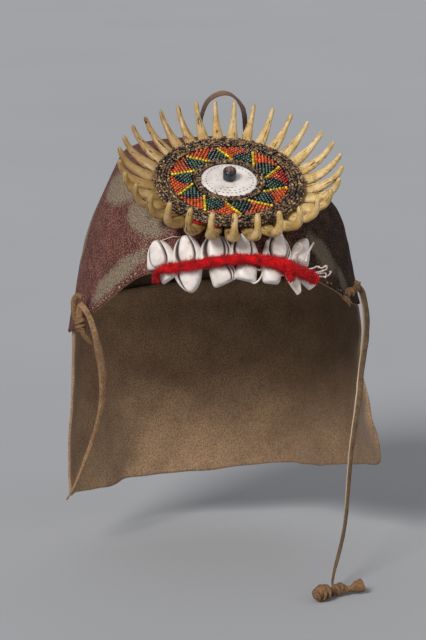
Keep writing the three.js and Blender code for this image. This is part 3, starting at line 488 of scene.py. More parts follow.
def smooth_course(route, count):
    """Even points on a smooth course through a route's points; further columns follow along."""
    route = np.asarray(route, float)
    padded = np.concatenate([[2 * route[0] - route[1]], route, [2 * route[-1] - route[-2]]])
    t = np.linspace(0, len(route) - 1, 24 * len(route))
    index = np.minimum(t.astype(int), len(route) - 2)
    u = (t - index)[:, None]
    a, b, c, d = (padded[index + k] for k in range(4))
    line = 0.5 * (2 * b + (c - a) * u + (2 * a - 5 * b + 4 * c - d) * u ** 2
                  + (3 * b - a - 3 * c + d) * u ** 3)
    return even(line, count)


def course_sides(course, reference):
    """Two normals at each point of a course, the first one nearest to the reference."""
    tangent = unit(np.gradient(course, axis=0))
    reference = np.broadcast_to(np.asarray(reference, float), tangent.shape)
    side = unit(reference - np.sum(tangent * reference, -1, keepdims=True) * tangent)
    return side, np.cross(tangent, side)


def tube(course, reference, section, scale=1.0, twist=0.0):
    """A body along a course: section, its outline, is turned by twist degrees and scaled at each point."""
    side, other = course_sides(course, reference)
    turn = np.radians(np.broadcast_to(twist, len(course)))[:, None]
    grow = np.broadcast_to(scale, len(course))[:, None]
    a = grow * (section[:, 0] * np.cos(turn) - section[:, 1] * np.sin(turn))
    b = grow * (section[:, 0] * np.sin(turn) + section[:, 1] * np.cos(turn))
    return ring_body(course[:, None] + a[..., None] * side[:, None] + b[..., None] * other[:, None])


def oval(width, height, sides, square=2.0):
    """An oval outline; square above 2 makes it boxier."""
    angle = circle(sides)
    x, y = (np.sign(turn) * np.abs(turn) ** (2 / square) for turn in (np.cos(angle), np.sin(angle)))
    return np.stack([x * width / 2, y * height / 2], -1)


def turned(reach, height, sides):
    """Rings of points about the emblem's axis, from a reach and a height for each ring or each point."""
    angle = circle(sides)
    return np.stack(np.broadcast_arrays(reach * np.sin(angle), reach * np.cos(angle), height), -1)


def bead_shape(sides, steps, size=1.0):
    """A body turned about X from steps of along and reach."""
    angle = circle(sides)
    place, reach = (numbers(steps) * size).T[..., None]
    return ring_body(np.stack(np.broadcast_arrays(place, reach * np.cos(angle), reach * np.sin(angle)), -1))


def lin(code):
    """Linear red, green, blue and alpha of an sRGB colour code such as #aabbcc."""
    srgb = np.array([int(code[k:k + 2], 16) / 255 for k in (1, 3, 5)])
    linear = np.where(srgb <= 0.04045, srgb / 12.92, ((srgb + 0.055) / 1.055) ** 2.4)
    return (*linear.tolist(), 1.0)


def per_mm(size):
    """A texture scale whose features are about this many millimetres."""
    return 1 / (size * MM)


# The shader nodes in use: Blender's name, the inputs in the order given, the output read, fixed settings
NODES = {
    "place": ("TexCoord", (), "Object", {}),
    "stored": ("Attribute", (), "Fac", {}),
    "noise": ("TexNoise", ("Vector", "Scale", "Detail", "Roughness", "Distortion"), "Fac", {}),
    "ramp": ("ValToRGB", ("Fac",), "Color", {}),
    "ease": ("MapRange", ("Value", "From Min", "From Max"), "Result", {"interpolation_type": "SMOOTHSTEP"}),
    "mix": ("Mix", (0, 6, 7), 2, {"data_type": "RGBA"}),
    "math": ("Math", (0, 1, 2), 0, {"operation": "ADD"}),
    "stretch": ("VectorMath", (0, 1), 0, {"operation": "MULTIPLY"}),
    "bump": ("Bump", ("Height", "Distance", "Strength"), "Normal", {}),
}


def connect(tree, socket, value):
    """Link an input to an output, or give it a number, a vector or a colour code."""
    if isinstance(value, bpy.types.NodeSocket):
        tree.links.new(value, socket)
    else:
        socket.default_value = lin(value) if isinstance(value, str) else value


def add(tree, kind, *values, output=None, stops="", **settings):
    """Add a shader node with its settings, inputs and colour stops, and give its output."""
    name, sockets, read, fixed = NODES[kind]
    made = tree.nodes.new("ShaderNode" + name)
    for setting, value in {**fixed, **settings}.items():
        setattr(made, setting, value)
    for socket, value in zip(sockets, values):
        connect(tree, made.inputs[socket], value)
    if stops:
        stops = [stop.split() for stop in stops.split(",")]
        elements = made.color_ramp.elements
        while len(elements) < len(stops):
            elements.new(0.5)
        for element, (place, code) in zip(elements, stops):
            element.position = float(place)
            element.color = lin(code)
    return made.outputs[output or read]


def stained(tree, colour, where, share, stain):
    """A colour that turns by a share towards a stain's colour, as a value or an eased range of one says."""
    if isinstance(where, tuple):
        where = add(tree, "ease", *where)
    return add(tree, "mix", where, colour, add(tree, "mix", share, colour, stain))


def start_material(name):
    """A new material, its node tree and the object coordinates."""
    material = bpy.data.materials.new(name)
    material.use_nodes = True
    return material, material.node_tree, add(material.node_tree, "place")


def finished(material, colour, roughness, height=None, depth=0.1, **shine):
    """The material with its colour, roughness, surface height of a real depth in mm, and further looks."""
    tree = material.node_tree
    shader = tree.nodes["Principled BSDF"]
    if height is not None:
        connect(tree, shader.inputs["Normal"], add(tree, "bump", height, depth * MM, 1.0))
    looks = {"base_color": colour, "roughness": roughness, **shine}
    for name, value in looks.items():
        socket = name.replace("_", " ").title().replace("Ior", "IOR")
        connect(tree, shader.inputs[socket], value)
    return material


def painted_leather():
    """Goat leather under worn maroon paint: a pebbled grain, rubbed patches and a bare tan cut edge. Painted
    shade makes the paint, its pale specks and its bare patches darker where the stored shade value is high.
    """
    material, tree, place = start_material("painted leather")
    inside, edge, worn, shade = (add(tree, "stored", attribute_name=name)
                                 for name in ("inside", "edge", "worn", "shade"))
    grain = add(tree, "noise", place, per_mm(0.8), 3.0, 0.6)
    cloud = add(tree, "noise", place, per_mm(13), 6.0, 0.7)
    paint = add(tree, "ramp", cloud, stops="0.3 #492622, 0.5 #643731, 0.7 #774b42")
    # Painted shade: a darker, mottled brown for the paint where the shade value is high, on the hood's right
    # side.
    painted_shade = add(tree, "ramp", cloud, stops="0.34 #110a06, 0.5 #26190f, 0.6 #3f221c, 0.72 #57452f")
    ground = add(tree, "mix", shade, paint, painted_shade)
    # The pale specks are darker there too: painted shade.
    pale = add(tree, "mix", shade, "#aa8b7c", "#7d6450")
    speckled = stained(tree, ground, (grain, 0.52, 0.62), 0.5, pale)
    dark = stained(tree, speckled, (grain, 0.48, 0.38), 0.8, "#140c0a")
    rubbed = add(tree, "math", worn, add(tree, "math", cloud, grain))
    bare = add(tree, "ramp", grain, stops="0.38 #5a4c40, 0.52 #84725f, 0.66 #a0907c")
    # The bare patches are darker on that side too: painted shade.
    bare = stained(tree, bare, shade, 0.55, "#4a4033")
    outside = add(tree, "mix", add(tree, "ease", rubbed, 1.2, 1.85), dark, bare)
    lining = add(tree, "ramp", cloud, stops="0.35 #463425, 0.65 #6d5540")
    both = add(tree, "mix", inside, outside, lining)
    cut = add(tree, "ramp", grain, stops="0.4 #6d5238, 0.62 #b3936c")
    colour = add(tree, "mix", add(tree, "ease", edge, 0.35, 0.75), both, cut)
    relief = add(tree, "math", cloud, 0.8, grain, operation="MULTIPLY_ADD")
    return finished(material, colour, 0.86, relief, 0.45, specular_ior_level=0.1)


def suede():
    """Brown suede, flesh side out: a short nap over soft cloudy wear, and a darker brown where shade is
    painted on it. The nap is drawn coarser than a real one, so that it shows."""
    material, tree, place = start_material("brown suede")
    painted_shade = add(tree, "stored", attribute_name="painted_shade")
    nap = add(tree, "noise", place, per_mm(0.8), 4.0, 0.7)
    cloud = add(tree, "noise", place, per_mm(22), 6.0, 0.62)
    tone = add(tree, "ramp", cloud, stops="0.3 #9a7b5f, 0.5 #ac8b6c, 0.7 #bc9a76")
    napped = stained(tree, tone, (nap, 0.58, 0.4), 0.55, "#2c1f15")
    # Painted shade: darker brown where the stored value is high.
    colour = stained(tree, napped, painted_shade, 0.55, "#3b2c1c")
    return finished(material, colour, 0.95, nap, 0.35, sheen_weight=0.12, specular_ior_level=0.15)


def thong(name, dark, light, pale):
    """Rough strap or thong cut from hide: dark grain lines, shaded clouds, and paler where its stored pale
    value
    says: a painted highlight along a tie's left edge, and a lighter top on the hanging loop.
    """
    material, tree, place = start_material(name)
    lightened = add(tree, "stored", attribute_name="pale")
    fleck = add(tree, "noise", place, per_mm(1.4), 6.0, 0.7)
    cloud = add(tree, "noise", place, per_mm(9), 2.0)
    hide = add(tree, "ramp", fleck, stops=f"0.3 {dark}, 0.66 {light}")
    shaded = stained(tree, hide, (cloud, 0.6, 0.35), 0.4, dark)
    # Paler where the pale value is high: a painted highlight on the ties, a lighter top on the loop.
    return finished(material, stained(tree, shaded, lightened, 0.8, pale), 0.82, fleck, 0.4)


def tinted_glass():
    """Small glass beads, each with a tint of its own stored at its points, a painted glint on its top, and
    dirt between them.
    """
    material, tree, place = start_material("glass beads")
    tint = add(tree, "stored", attribute_name="tint", output="Color")
    dirt = add(tree, "noise", place, per_mm(1.4), 3.0)
    return finished(material, stained(tree, tint, (dirt, 0.56, 0.32), 0.6, "#120d0a"), 0.16)


def twisted_border():
    """Dark thread work of the borders: waxed fibre bundles with small glassy bits, and painted glints stored
    in some bundles' tint.
    """
    material, tree, place = start_material("twisted bead border")
    tint = add(tree, "stored", attribute_name="tint", output="Color")
    fleck = add(tree, "noise", place, per_mm(0.8), 3.0)
    return finished(material, stained(tree, tint, (fleck, 0.55, 0.4), 0.55, "#120c09"), 0.25, fleck, 0.2)


def tusk_ivory():
    """Boar tusk: ochre cream, darker on the stained ones, with painted shade towards the root under the
    plate, and brown cracks along it.
    """
    material, tree, place = start_material("tusk")
    skin = add(tree, "stored", attribute_name="skin", output="Vector")
    share, stain = (add(tree, "stored", attribute_name=name) for name in ("share", "stain"))
    stretched = add(tree, "stretch", skin, (0.13, 1.0, 1.0))
    cracks = add(tree, "noise", stretched, 0.8, 6.0, 0.62, 0.5)
    cloud = add(tree, "noise", skin, 0.16, 4.0)
    fine = add(tree, "noise", place, per_mm(1.6), 4.0)
    clean = add(tree, "ramp", cloud, stops="0.28 #b8934f, 0.5 #d6b475, 0.72 #e6cb98")
    tone = stained(tree, clean, stain, 0.6, "#8a6431")
    # Painted shade: darker towards the root, where the tusk runs under the plate.
    root = stained(tree, tone, (share, 0.4, 0.12), 0.5, "#7d562b")
    spotted = stained(tree, root, (fine, 0.58, 0.7), 0.55, "#76502a")
    colour = add(tree, "mix", add(tree, "ease", cracks, 0.58, 0.625), spotted, "#3a2413")
    raised = add(tree, "math", 1.0, cracks, operation="SUBTRACT")
    return finished(material, colour, 0.32, raised, 0.6, subsurface_weight=0.05,
                    subsurface_radius=(0.002, 0.0012, 0.0006))


def shell_white():
    """Cut cowrie, smoothed by wear: satin warm white with tan stains, and dark painted shade in the slits,
    where the stored mark value is high.
    """
    material, tree, place = start_material("cowrie shell")
    mark = add(tree, "stored", attribute_name="mark")
    cloud = add(tree, "noise", place, per_mm(7), 4.0)
    tone = add(tree, "ramp", cloud, stops="0.3 #cbbdb2, 0.5 #ddd2c9, 0.72 #eae2da")
    spots = add(tree, "noise", place, per_mm(4), 5.0)
    tan = add(tree, "mix", add(tree, "ease", spots, 0.62, 0.78), tone, "#b99a76")
    # The mark value darkens the slits: painted shade.
    return finished(material, add(tree, "mix", mark, tan, "#3a261c"), 0.42, cloud, 0.2)


def dark_glass():
    """Blue-black glass of the centre bead, with the brown peg that holds it."""
    material, tree, place = start_material("dark glass and peg")
    peg = add(tree, "stored", attribute_name="mark")
    cloud = add(tree, "noise", place, per_mm(2.2), 4.0)
    glass = add(tree, "ramp", cloud, stops="0.35 #16181f, 0.6 #2c303b, 0.75 #5d6470")
    wood = add(tree, "ramp", cloud, stops="0.35 #5a3a26, 0.65 #96694a")
    return finished(material, add(tree, "mix", peg, glass, wood), 0.25, cloud, 0.15)


def wool(name, dark, light):
    """Spun fibre, bright on the fluff and darker between the plies, drawn coarser than real so that it
    shows."""
    material, tree, place = start_material(name)
    fibre = add(tree, "noise", place, per_mm(0.5), 4.0)
    cloud = add(tree, "noise", place, per_mm(5), 2.0)
    depth = add(tree, "ease", add(tree, "math", fibre, cloud), 0.7, 1.3)
    colour = add(tree, "ramp", depth, stops=f"0 {dark}, 1 {light}")
    return finished(material, colour, 0.95, fibre, 0.3, sheen_weight=0.12, specular_ior_level=0.1)


def pale_floor():
    """Matte pale paper of the stage."""
    material, tree, place = start_material("pale floor")
    cloud = add(tree, "noise", place, per_mm(400), 2.0)
    return finished(material, add(tree, "ramp", cloud, stops="0.3 #a9a9aa, 0.7 #adadae"), 0.9)


def make_mesh(name, body, material, values=None, smooth=True):
    """A mesh object from points in mm and faces, with named values at its points, riding on the hat."""
    points, faces = body
    mesh = bpy.data.meshes.new(name)
    mesh.from_pydata((points * MM).tolist(), [], [face for group in faces for face in group.tolist()])
    kinds = {1: ("FLOAT", "value"), 3: ("FLOAT_VECTOR", "vector"), 4: ("FLOAT_COLOR", "color")}
    for value_name, value in (values or {}).items():
        value = np.asarray(value, np.float32)
        kind, field = kinds[1 if value.ndim == 1 else value.shape[1]]
        mesh.attributes.new(value_name, kind, "POINT").data.foreach_set(field, value.ravel())
    mesh.polygons.foreach_set("use_smooth", np.full(len(mesh.polygons), smooth))
    mesh.materials.append(material)
    mesh.update()
    made = bpy.data.objects.new(name, mesh)
    bpy.context.scene.collection.objects.link(made)
    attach(made, "root")
    return made


def make_piece(node, body, material, values=None, smooth=True):
    """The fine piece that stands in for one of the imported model's nodes."""
    made = make_mesh("fine_" + node, body, material, values, smooth)
    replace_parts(made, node)
    return made


def plan_reach(azimuth):
    """The hood's plan outline: half an ellipse to the front and half to the back."""
    angle = np.radians(azimuth)
    depth = np.where(np.cos(angle) > 0, HOOD_FRONT_REACH, HOOD_BACK_REACH)
    return 1 / np.hypot(np.sin(angle) / HOOD_HALF_WIDTH, np.cos(angle) / depth)


def hood_profile(azimuth):
    """The hood's outer profile at each azimuth, crown to rim: straight stretches with rounded corners."""
    azimuth = np.atleast_1d(np.asarray(azimuth, float))
    reach = plan_reach(azimuth)
    corners = [np.stack([np.zeros_like(reach), np.full_like(reach, CROWN_TOP)], -1)]
    for name in ("crown", "brow", "waist", "rim"):
        corners.append(np.stack([
            reach * around(HOOD, name + "_reach", azimuth),
            CROWN_TOP - HOOD_HEIGHT * around(HOOD, name + "_drop", azimuth),
        ], -1))
    start = corners[0]
    stretches = []
    for k, (fillet, steps) in enumerate(zip(HOOD_FILLETS, HOOD_STEPS)):
        before, middle, after = corners[k:k + 3]
        lengths = [np.linalg.norm(end - middle, axis=-1) * 0.45 for end in (before, after)]
        length = np.minimum(fillet, np.minimum(*lengths))[:, None]
        bend_start = middle + unit(before - middle) * length
        bend_end = middle + unit(after - middle) * length
        t = np.linspace(0, 1, steps, endpoint=False)[None, :, None]
        stretches.append(start[:, None] * (1 - t) + bend_start[:, None] * t)
        t = np.linspace(0, 1, BEND_STEPS, endpoint=False)[None, :, None]
        stretches.append(bend_start[:, None] * (1 - t) ** 2 + middle[:, None] * 2 * t * (1 - t)
                         + bend_end[:, None] * t ** 2)
        start = bend_end
    t = np.linspace(0, 1, LAST_STEPS)[None, :, None]
    stretches.append(start[:, None] * (1 - t) + corners[4][:, None] * t)
    return np.concatenate(stretches, axis=1)


def offset_profile(profile, distance):
    """A profile moved inwards, square to itself, by a distance at each of its points."""
    ahead = np.concatenate([profile[:, 1:], profile[:, -1:]], axis=1)
    behind = np.concatenate([profile[:, :1], profile[:, :-1]], axis=1)
    step = unit(ahead - behind)
    moved = profile + np.stack([step[..., 1], -step[..., 0]], -1) * np.asarray(distance)[..., None]
    moved[:, 0, 0] = 0
    return moved


def at_azimuth(azimuth, reach, height):
    """Points at azimuths with a reach and a height."""
    angle = np.radians(azimuth)
    return np.stack(np.broadcast_arrays(reach * np.sin(angle), -reach * np.cos(angle), height), -1)


def reach_at(profile, height):
    """The reach of one profile at a height; below the rim it is the rim's."""
    return np.interp(height, profile[::-1, 1], profile[::-1, 0])


def hood_point(azimuth, height):
    """A point on the hood's outside at an azimuth and height."""
    return at_azimuth(azimuth, reach_at(hood_profile(azimuth)[0], height), height)


def rim_height(azimuth):
    """The height of the hood's rim at an azimuth."""
    return hood_profile(azimuth)[0, -1, 1]


def seat_on_hood(azimuth, drop):
    """A point on the hood's outside with the axes of a piece that lies there: side, up and out. Below the
    rim it lies on the slope's straight continuation."""
    height = CROWN_TOP - HOOD_HEIGHT * drop
    level = max(height, rim_height(azimuth))
    point = hood_point(azimuth, level)
    side = unit(hood_point(azimuth + 3, level) - hood_point(azimuth - 3, level))
    up = unit(hood_point(azimuth, level + 5) - point)
    out = unit(np.cross(side, up))
    up = unit(np.cross(out, side))
    return point + up * (height - level) / up[2], side, up, out


def worn_share(azimuth, drop):
    """How rubbed the paint is, from 0 to 1, by the oval patches of the table."""
    most = np.zeros(np.broadcast(azimuth, drop).shape)
    turn = (azimuth + 180) % 360 - 180
    for middle, middle_drop, length, width, lean in WORN:
        right = np.radians(turn - middle) * HOOD_HALF_WIDTH
        down = (drop - middle_drop) * HOOD_HEIGHT
        lean = np.radians(lean)
        a = (right * np.cos(lean) + down * np.sin(lean)) / length
        b = (down * np.cos(lean) - right * np.sin(lean)) / width
        most = np.maximum(most, np.clip(1.5 - np.hypot(a, b), 0, 1))
    return most


def make_hood(settings):
    """The hood: its outer profile down to the rim, round the cut edge and back up inside, all the way round,
    with the unevenness of soft leather."""
    azimuth = np.arange(HOOD_TURNS) * 360 / HOOD_TURNS
    outer = hood_profile(azimuth)
    rough_points = at_azimuth(azimuth[:, None], outer[..., 0], outer[..., 1])
    uneven = settings.leather_unevenness / MM * ramp(outer[..., 0], 0, 30) * (
        ripple(rough_points, 34, 1) + 0.5 * ripple(rough_points, 12, 2))
    skin = offset_profile(outer, -uneven)
    lining = offset_profile(outer, HOOD_WALL - uneven)
    lip = (skin[:, -1:] + lining[:, -1:]) / 2 + np.array([0, -0.5])
    outline = np.concatenate([skin[:, 1:], lip, lining[:, :0:-1]], axis=1).transpose(1, 0, 2)
    rings = at_azimuth(azimuth, outline[..., 0], outline[..., 1])
    past_lip = np.arange(len(rings))[:, None] - (skin.shape[1] - 1) + np.zeros(HOOD_TURNS)
    drop = (CROWN_TOP - rings[..., 2]) / HOOD_HEIGHT
    right = ramp(rings[..., 0], 18, 40)
    values = {
        "inside": capped(past_lip > 0, 0, 1),
        "edge": capped(bell(past_lip, 0, 0.9)),
        "worn": capped(worn_share(azimuth + 0 * drop, drop)),
        # Painted shade on the right side, a little less towards the front and the back.
        "shade": capped(right * np.clip(1.4 - np.abs(rings[..., 1]) / 160, 0, 1)),
    }
    make_piece("hood", ring_body(rings), painted_leather(), values)


def make_rim_stitches():
    """Short uneven stitches of pale thread along the arched front rim."""
    rng = np.random.default_rng(3)
    azimuth = np.concatenate([np.arange(*stretch) for stretch in STITCHED])
    azimuth = azimuth[rng.random(len(azimuth)) < STITCHES_LEFT]
    points = []
    axes = []
    for angle in azimuth:
        rise = 1.6 + rng.uniform(0, 1.6)
        start = hood_point(angle, rim_height(angle) + rise)
        end = hood_point(angle + 1, rim_height(angle + 1) + rise + rng.normal(0, 0.5))
        side = unit(end - start)
        out = unit(at_azimuth(angle, 1, 0.1))
        up = unit(np.cross(out, side))
        size = rng.uniform(0.5, 1.1)
        points.append((start + end) / 2 + 0.2 * out)
        axes.append(np.array([side, up, np.cross(side, up)]) * size)
    shape = bead_shape(6, "-1 0.15, -0.6 0.36, 0.6 0.36, 1 0.15")
    body = repeated(*shape, np.array(points), np.array(axes))
    make_mesh("rim_stitches", body, wool("pale thread", "#9a8260", "#dccba8"))


def make_neck_flap(settings):
    """The flap: from a top edge tucked inside the hood to a free lower edge, with soft folds. Its shape
    follows the hood's inside at the top and a plan line with folds at the foot."""
    u = np.linspace(0, 1, FLAP_COLUMNS)
    azimuth = along(FLAP, "azimuth", u)
    profiles = hood_profile(azimuth)
    rim = profiles[:, -1, 1]
    out = at_azimuth(azimuth, 1, 0)
    v = np.concatenate([np.linspace(-1, 0, FLAP_TUCK_ROWS + 1)[:-1], np.linspace(0, 1, FLAP_ROWS)])[:, None]
    share = np.clip(v, 0, 1)
    tucked = np.clip(-v, 0, 1)[..., None]
    spread = (share ** along(FLAP, "flare", u))[..., None]
    stand = FLAP_STAND * ramp(u, 0.8, 0.2) * bell(share, 0.17, 0.2) * (share > 0)
    fold = FLAP_FOLD * along(FLAP, "fold", u) * np.sin(share * np.pi / 2)

    def surface(distance):
        inner = offset_profile(profiles, HOOD_WALL + FLAP_GAP + distance)
        top, hem = (out * np.array([reach_at(*pair) for pair in zip(inner, height)])[:, None]
                    for height in (rim + FLAP_TUCK, rim))
        foot = np.stack([FLAP_HALF_WIDTH * along(FLAP, "side", u), FLAP_DEPTH * along(FLAP, "back", u),
                         np.zeros(FLAP_COLUMNS)], -1) - out * distance
        points = hem * (1 - spread) + foot * spread + out * stand[..., None]
        points = points * (1 - tucked) + top * tucked + out * fold[..., None]
        bottom = -FLAP_DROP * along(FLAP, "drop", u)
        points[..., 2] = np.where(v < 0, rim - v * FLAP_TUCK, rim + (bottom - rim) * share)
        return points

    front = surface(0.0)
    waves = ripple(front, 46, 5) + 0.35 * ripple(front, 15, 6)
    wave = settings.flap_waves / MM * (share * waves)[..., None] * out
    wave[..., 2] += 0.9 * share ** 6 * ripple(front, 24, 7)
    body = sheet_body(front + wave, surface(FLAP_WALL) + wave)
    # Painted shade: darker over the flap's right half, in full on its inner face and at 0.4 on its outer
    # face, a little less towards the foot, and none on the flared right corner, which stays lit.
    corner = ramp(u, 0.9, 0.06) * ramp(share, 0.45, 0.3)
    painted_shade = ramp(u, 0.3, 0.45) * (1 - corner) * (1 - 0.3 * share ** 3)
    painted_shade = np.concatenate([0.4 * painted_shade.reshape(-1), painted_shade.reshape(-1)])
    made = make_piece("neck_flap", body, suede(), {"painted_shade": painted_shade})


def make_hanging_loop():
    """The flat strap bent to an arch, with both feet on the crown."""
    base = LOOP_FOOT + 2 * CLEARANCE
    route = np.stack([LOOP_X + LOOP_WIDTH / 2 * LOOP["side"], np.full(len(LOOP["side"]), LOOP_Y),
                      base + (LOOP_HEIGHT - base) * LOOP["rise"], LOOP["width"], LOOP["pale"]], -1)
    course = smooth_course(route, 90)
    line = course[:, :3]
    across = np.cross(np.gradient(line, axis=0), (0, 1, 0)) + (0.001, 0, 0)
    section = oval(LOOP_STRAP_WIDTH, LOOP_STRAP_WALL, LOOP_SIDES, 3.5)
    points, faces = tube(line, across, section, course[:, 3])
    points += 0.15 * ripple(points, 4, 9)[:, None] * np.array([1, 0, 0.2])
    pale = capped(np.repeat(np.clip(course[:, 4], 0, 1), LOOP_SIDES))
    material = thong("strap leather", "#2e221c", "#5d4a3f", "#8a6a58")
    make_piece("hanging_loop", (points, faces), material, {"pale": pale})


def emblem_frame():
    """The emblem's centre under its core, and its axes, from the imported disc: the flat round cloth is
    thinnest along its own axis, and its X axis has no part along Y."""
    points, cloth = (np.array([v.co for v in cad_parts[name].data.vertices], float) / MM
                     for name in ("beaded_disc", "backing_cloth"))
    middle = (cloth.min(0) + cloth.max(0)) / 2
    _, _, axes = np.linalg.svd(cloth - cloth.mean(0), full_matrices=False)
    out = axes[2] if axes[2][2] > 0 else -axes[2]
    side = unit(np.cross([0, 1, 0], out))
    heights = (points - middle) @ out
    return middle + out * heights.min(), np.array([side, np.cross(out, side), out])


EMBLEM_PLACE, EMBLEM_AXES = emblem_frame()


def on_emblem(body):
    """A body from the emblem's own axes into the hat's frame."""
    points, faces = body
    return points @ EMBLEM_AXES + EMBLEM_PLACE, faces


def make_plate():
    """The core and the plate on it, turned from one outline, with a low step under the bead field."""
    outline = [
        (POLE, 0), (CORE_RADIUS - CORE_BEVEL, 0), (CORE_RADIUS, CORE_BEVEL), (CORE_RADIUS, PLATE_BASE),
        (PLATE_RADIUS - PLATE_BEVEL, PLATE_BASE), (PLATE_RADIUS, PLATE_BASE + PLATE_BEVEL),
        (PLATE_RADIUS, PLATE_TOP), (BORDER_INNER - CLEARANCE, PLATE_TOP),
        (BORDER_INNER - CLEARANCE, PLATE_TOP + FIELD_STEP),
        (INNER_BORDER_END + CLEARANCE, PLATE_TOP + FIELD_STEP),
        (INNER_BORDER_END + CLEARANCE, PLATE_TOP), (POLE, PLATE_TOP),
    ]
    body = ring_body(turned(*np.array(outline).T[..., None], 96))
    make_piece("beaded_disc", on_emblem(body), wool("dark stitched cloth", "#0e0a08", "#2a1f19"),
               smooth=False)


def make_cloth():
    """The ring of red cloth under the plate, with a frayed edge that two tongues stick out of."""
    sides = 220
    turn = np.degrees(circle(sides))
    edge = turned(CLOTH_RADIUS, 0, sides)
    fray = 0.4 * ripple(edge, 9, 21) + 0.3 * ripple(edge, 2.4, 22)
    for length, middle, width in CLOTH_TONGUES:
        fray += length * bell(turn, middle, width)
    reaches = np.array([CORE_RADIUS + 0.4, 42, 46, CLOTH_RADIUS])
    reach = np.concatenate([reaches, reaches[::-1]])[:, None] + np.zeros(sides)
    reach[3:5] += fray
    height = np.repeat([CLOTH_BASE, CLOTH_BASE + CLOTH_WALL], 4)[:, None]
    body = closed_ring(turned(reach, height, sides))
    make_piece("backing_cloth", on_emblem(body), wool("red cloth", "#7d0a10", "#c41a20"))


def make_shell_disc():
    """The white disc: a low dome with a rounded edge on a flat base, marked with broken rings."""
    sides = 320
    steps = np.linspace(0.05, SHELL_DISC_RADIUS, 84)[:, None]
    share = steps / SHELL_DISC_RADIUS
    seat = PLATE_TOP + CLEARANCE
    rise = seat + SHELL_DISC_WALL * (1 - 0.32 * share ** 3 - 4 * np.clip(share - 0.94, 0, 1))
    rings = np.concatenate([turned(steps, rise, sides), turned(steps[::-40], seat, sides)])
    turn = np.degrees(circle(sides))
    reach = np.linalg.norm(rings[..., :2], axis=-1)
    middle, width, middle_turn, turn_width = SHELL_DISC_SPOT
    marks = bell(reach, middle, width) * bell(turn, middle_turn, turn_width)
    for line, width, first, last, dashes, filled in SHELL_DISC_MARKS:
        wander = line + 0.3 * np.sin(np.radians(turn) * 3 + line)
        dash = (turn * dashes / 360 + 0.2 * line) % 1 < filled
        marks = np.maximum(marks, bell(reach, wander, width) * dash * (turn >= first) * (turn <= last))
    marks[len(steps):] = 0
    make_piece("shell_disc", on_emblem(ring_body(rings)), shell_white(), {"mark": capped(marks)})


def make_centre_bead():
    """The short dark bead on the shell disc and the peg through it, turned from one outline."""
    sides = 40
    base = PLATE_TOP + SHELL_DISC_WALL + 2 * CLEARANCE
    outline = CENTRE_BEAD * (CENTRE_BEAD_RADIUS, CENTRE_BEAD_HEIGHT) + (0, base)
    points, faces = ring_body(turned(*outline.T[..., None], sides))
    points += 0.12 * ripple(points, 2.6, 31)[:, None]
    peg = capped(np.repeat(np.arange(len(outline)) >= PEG_START, sides), 0, 1)
    make_piece("centre_bead", on_emblem((points, faces)), dark_glass(), {"mark": peg})


def glinting(tint, shape, glint, shine):
    """The tint of every point of repeated small bodies: each body's own, with a pale glint on its highest
    point, because the light on a real bead is a spot too fine for the render."""
    tint = np.repeat(tint[:, None], len(shape), 1)
    top = shape[:, 2].argmax()
    tint[:, top] += (lin(shine) - tint[:, top]) * glint
    return tint.reshape(-1, 4)


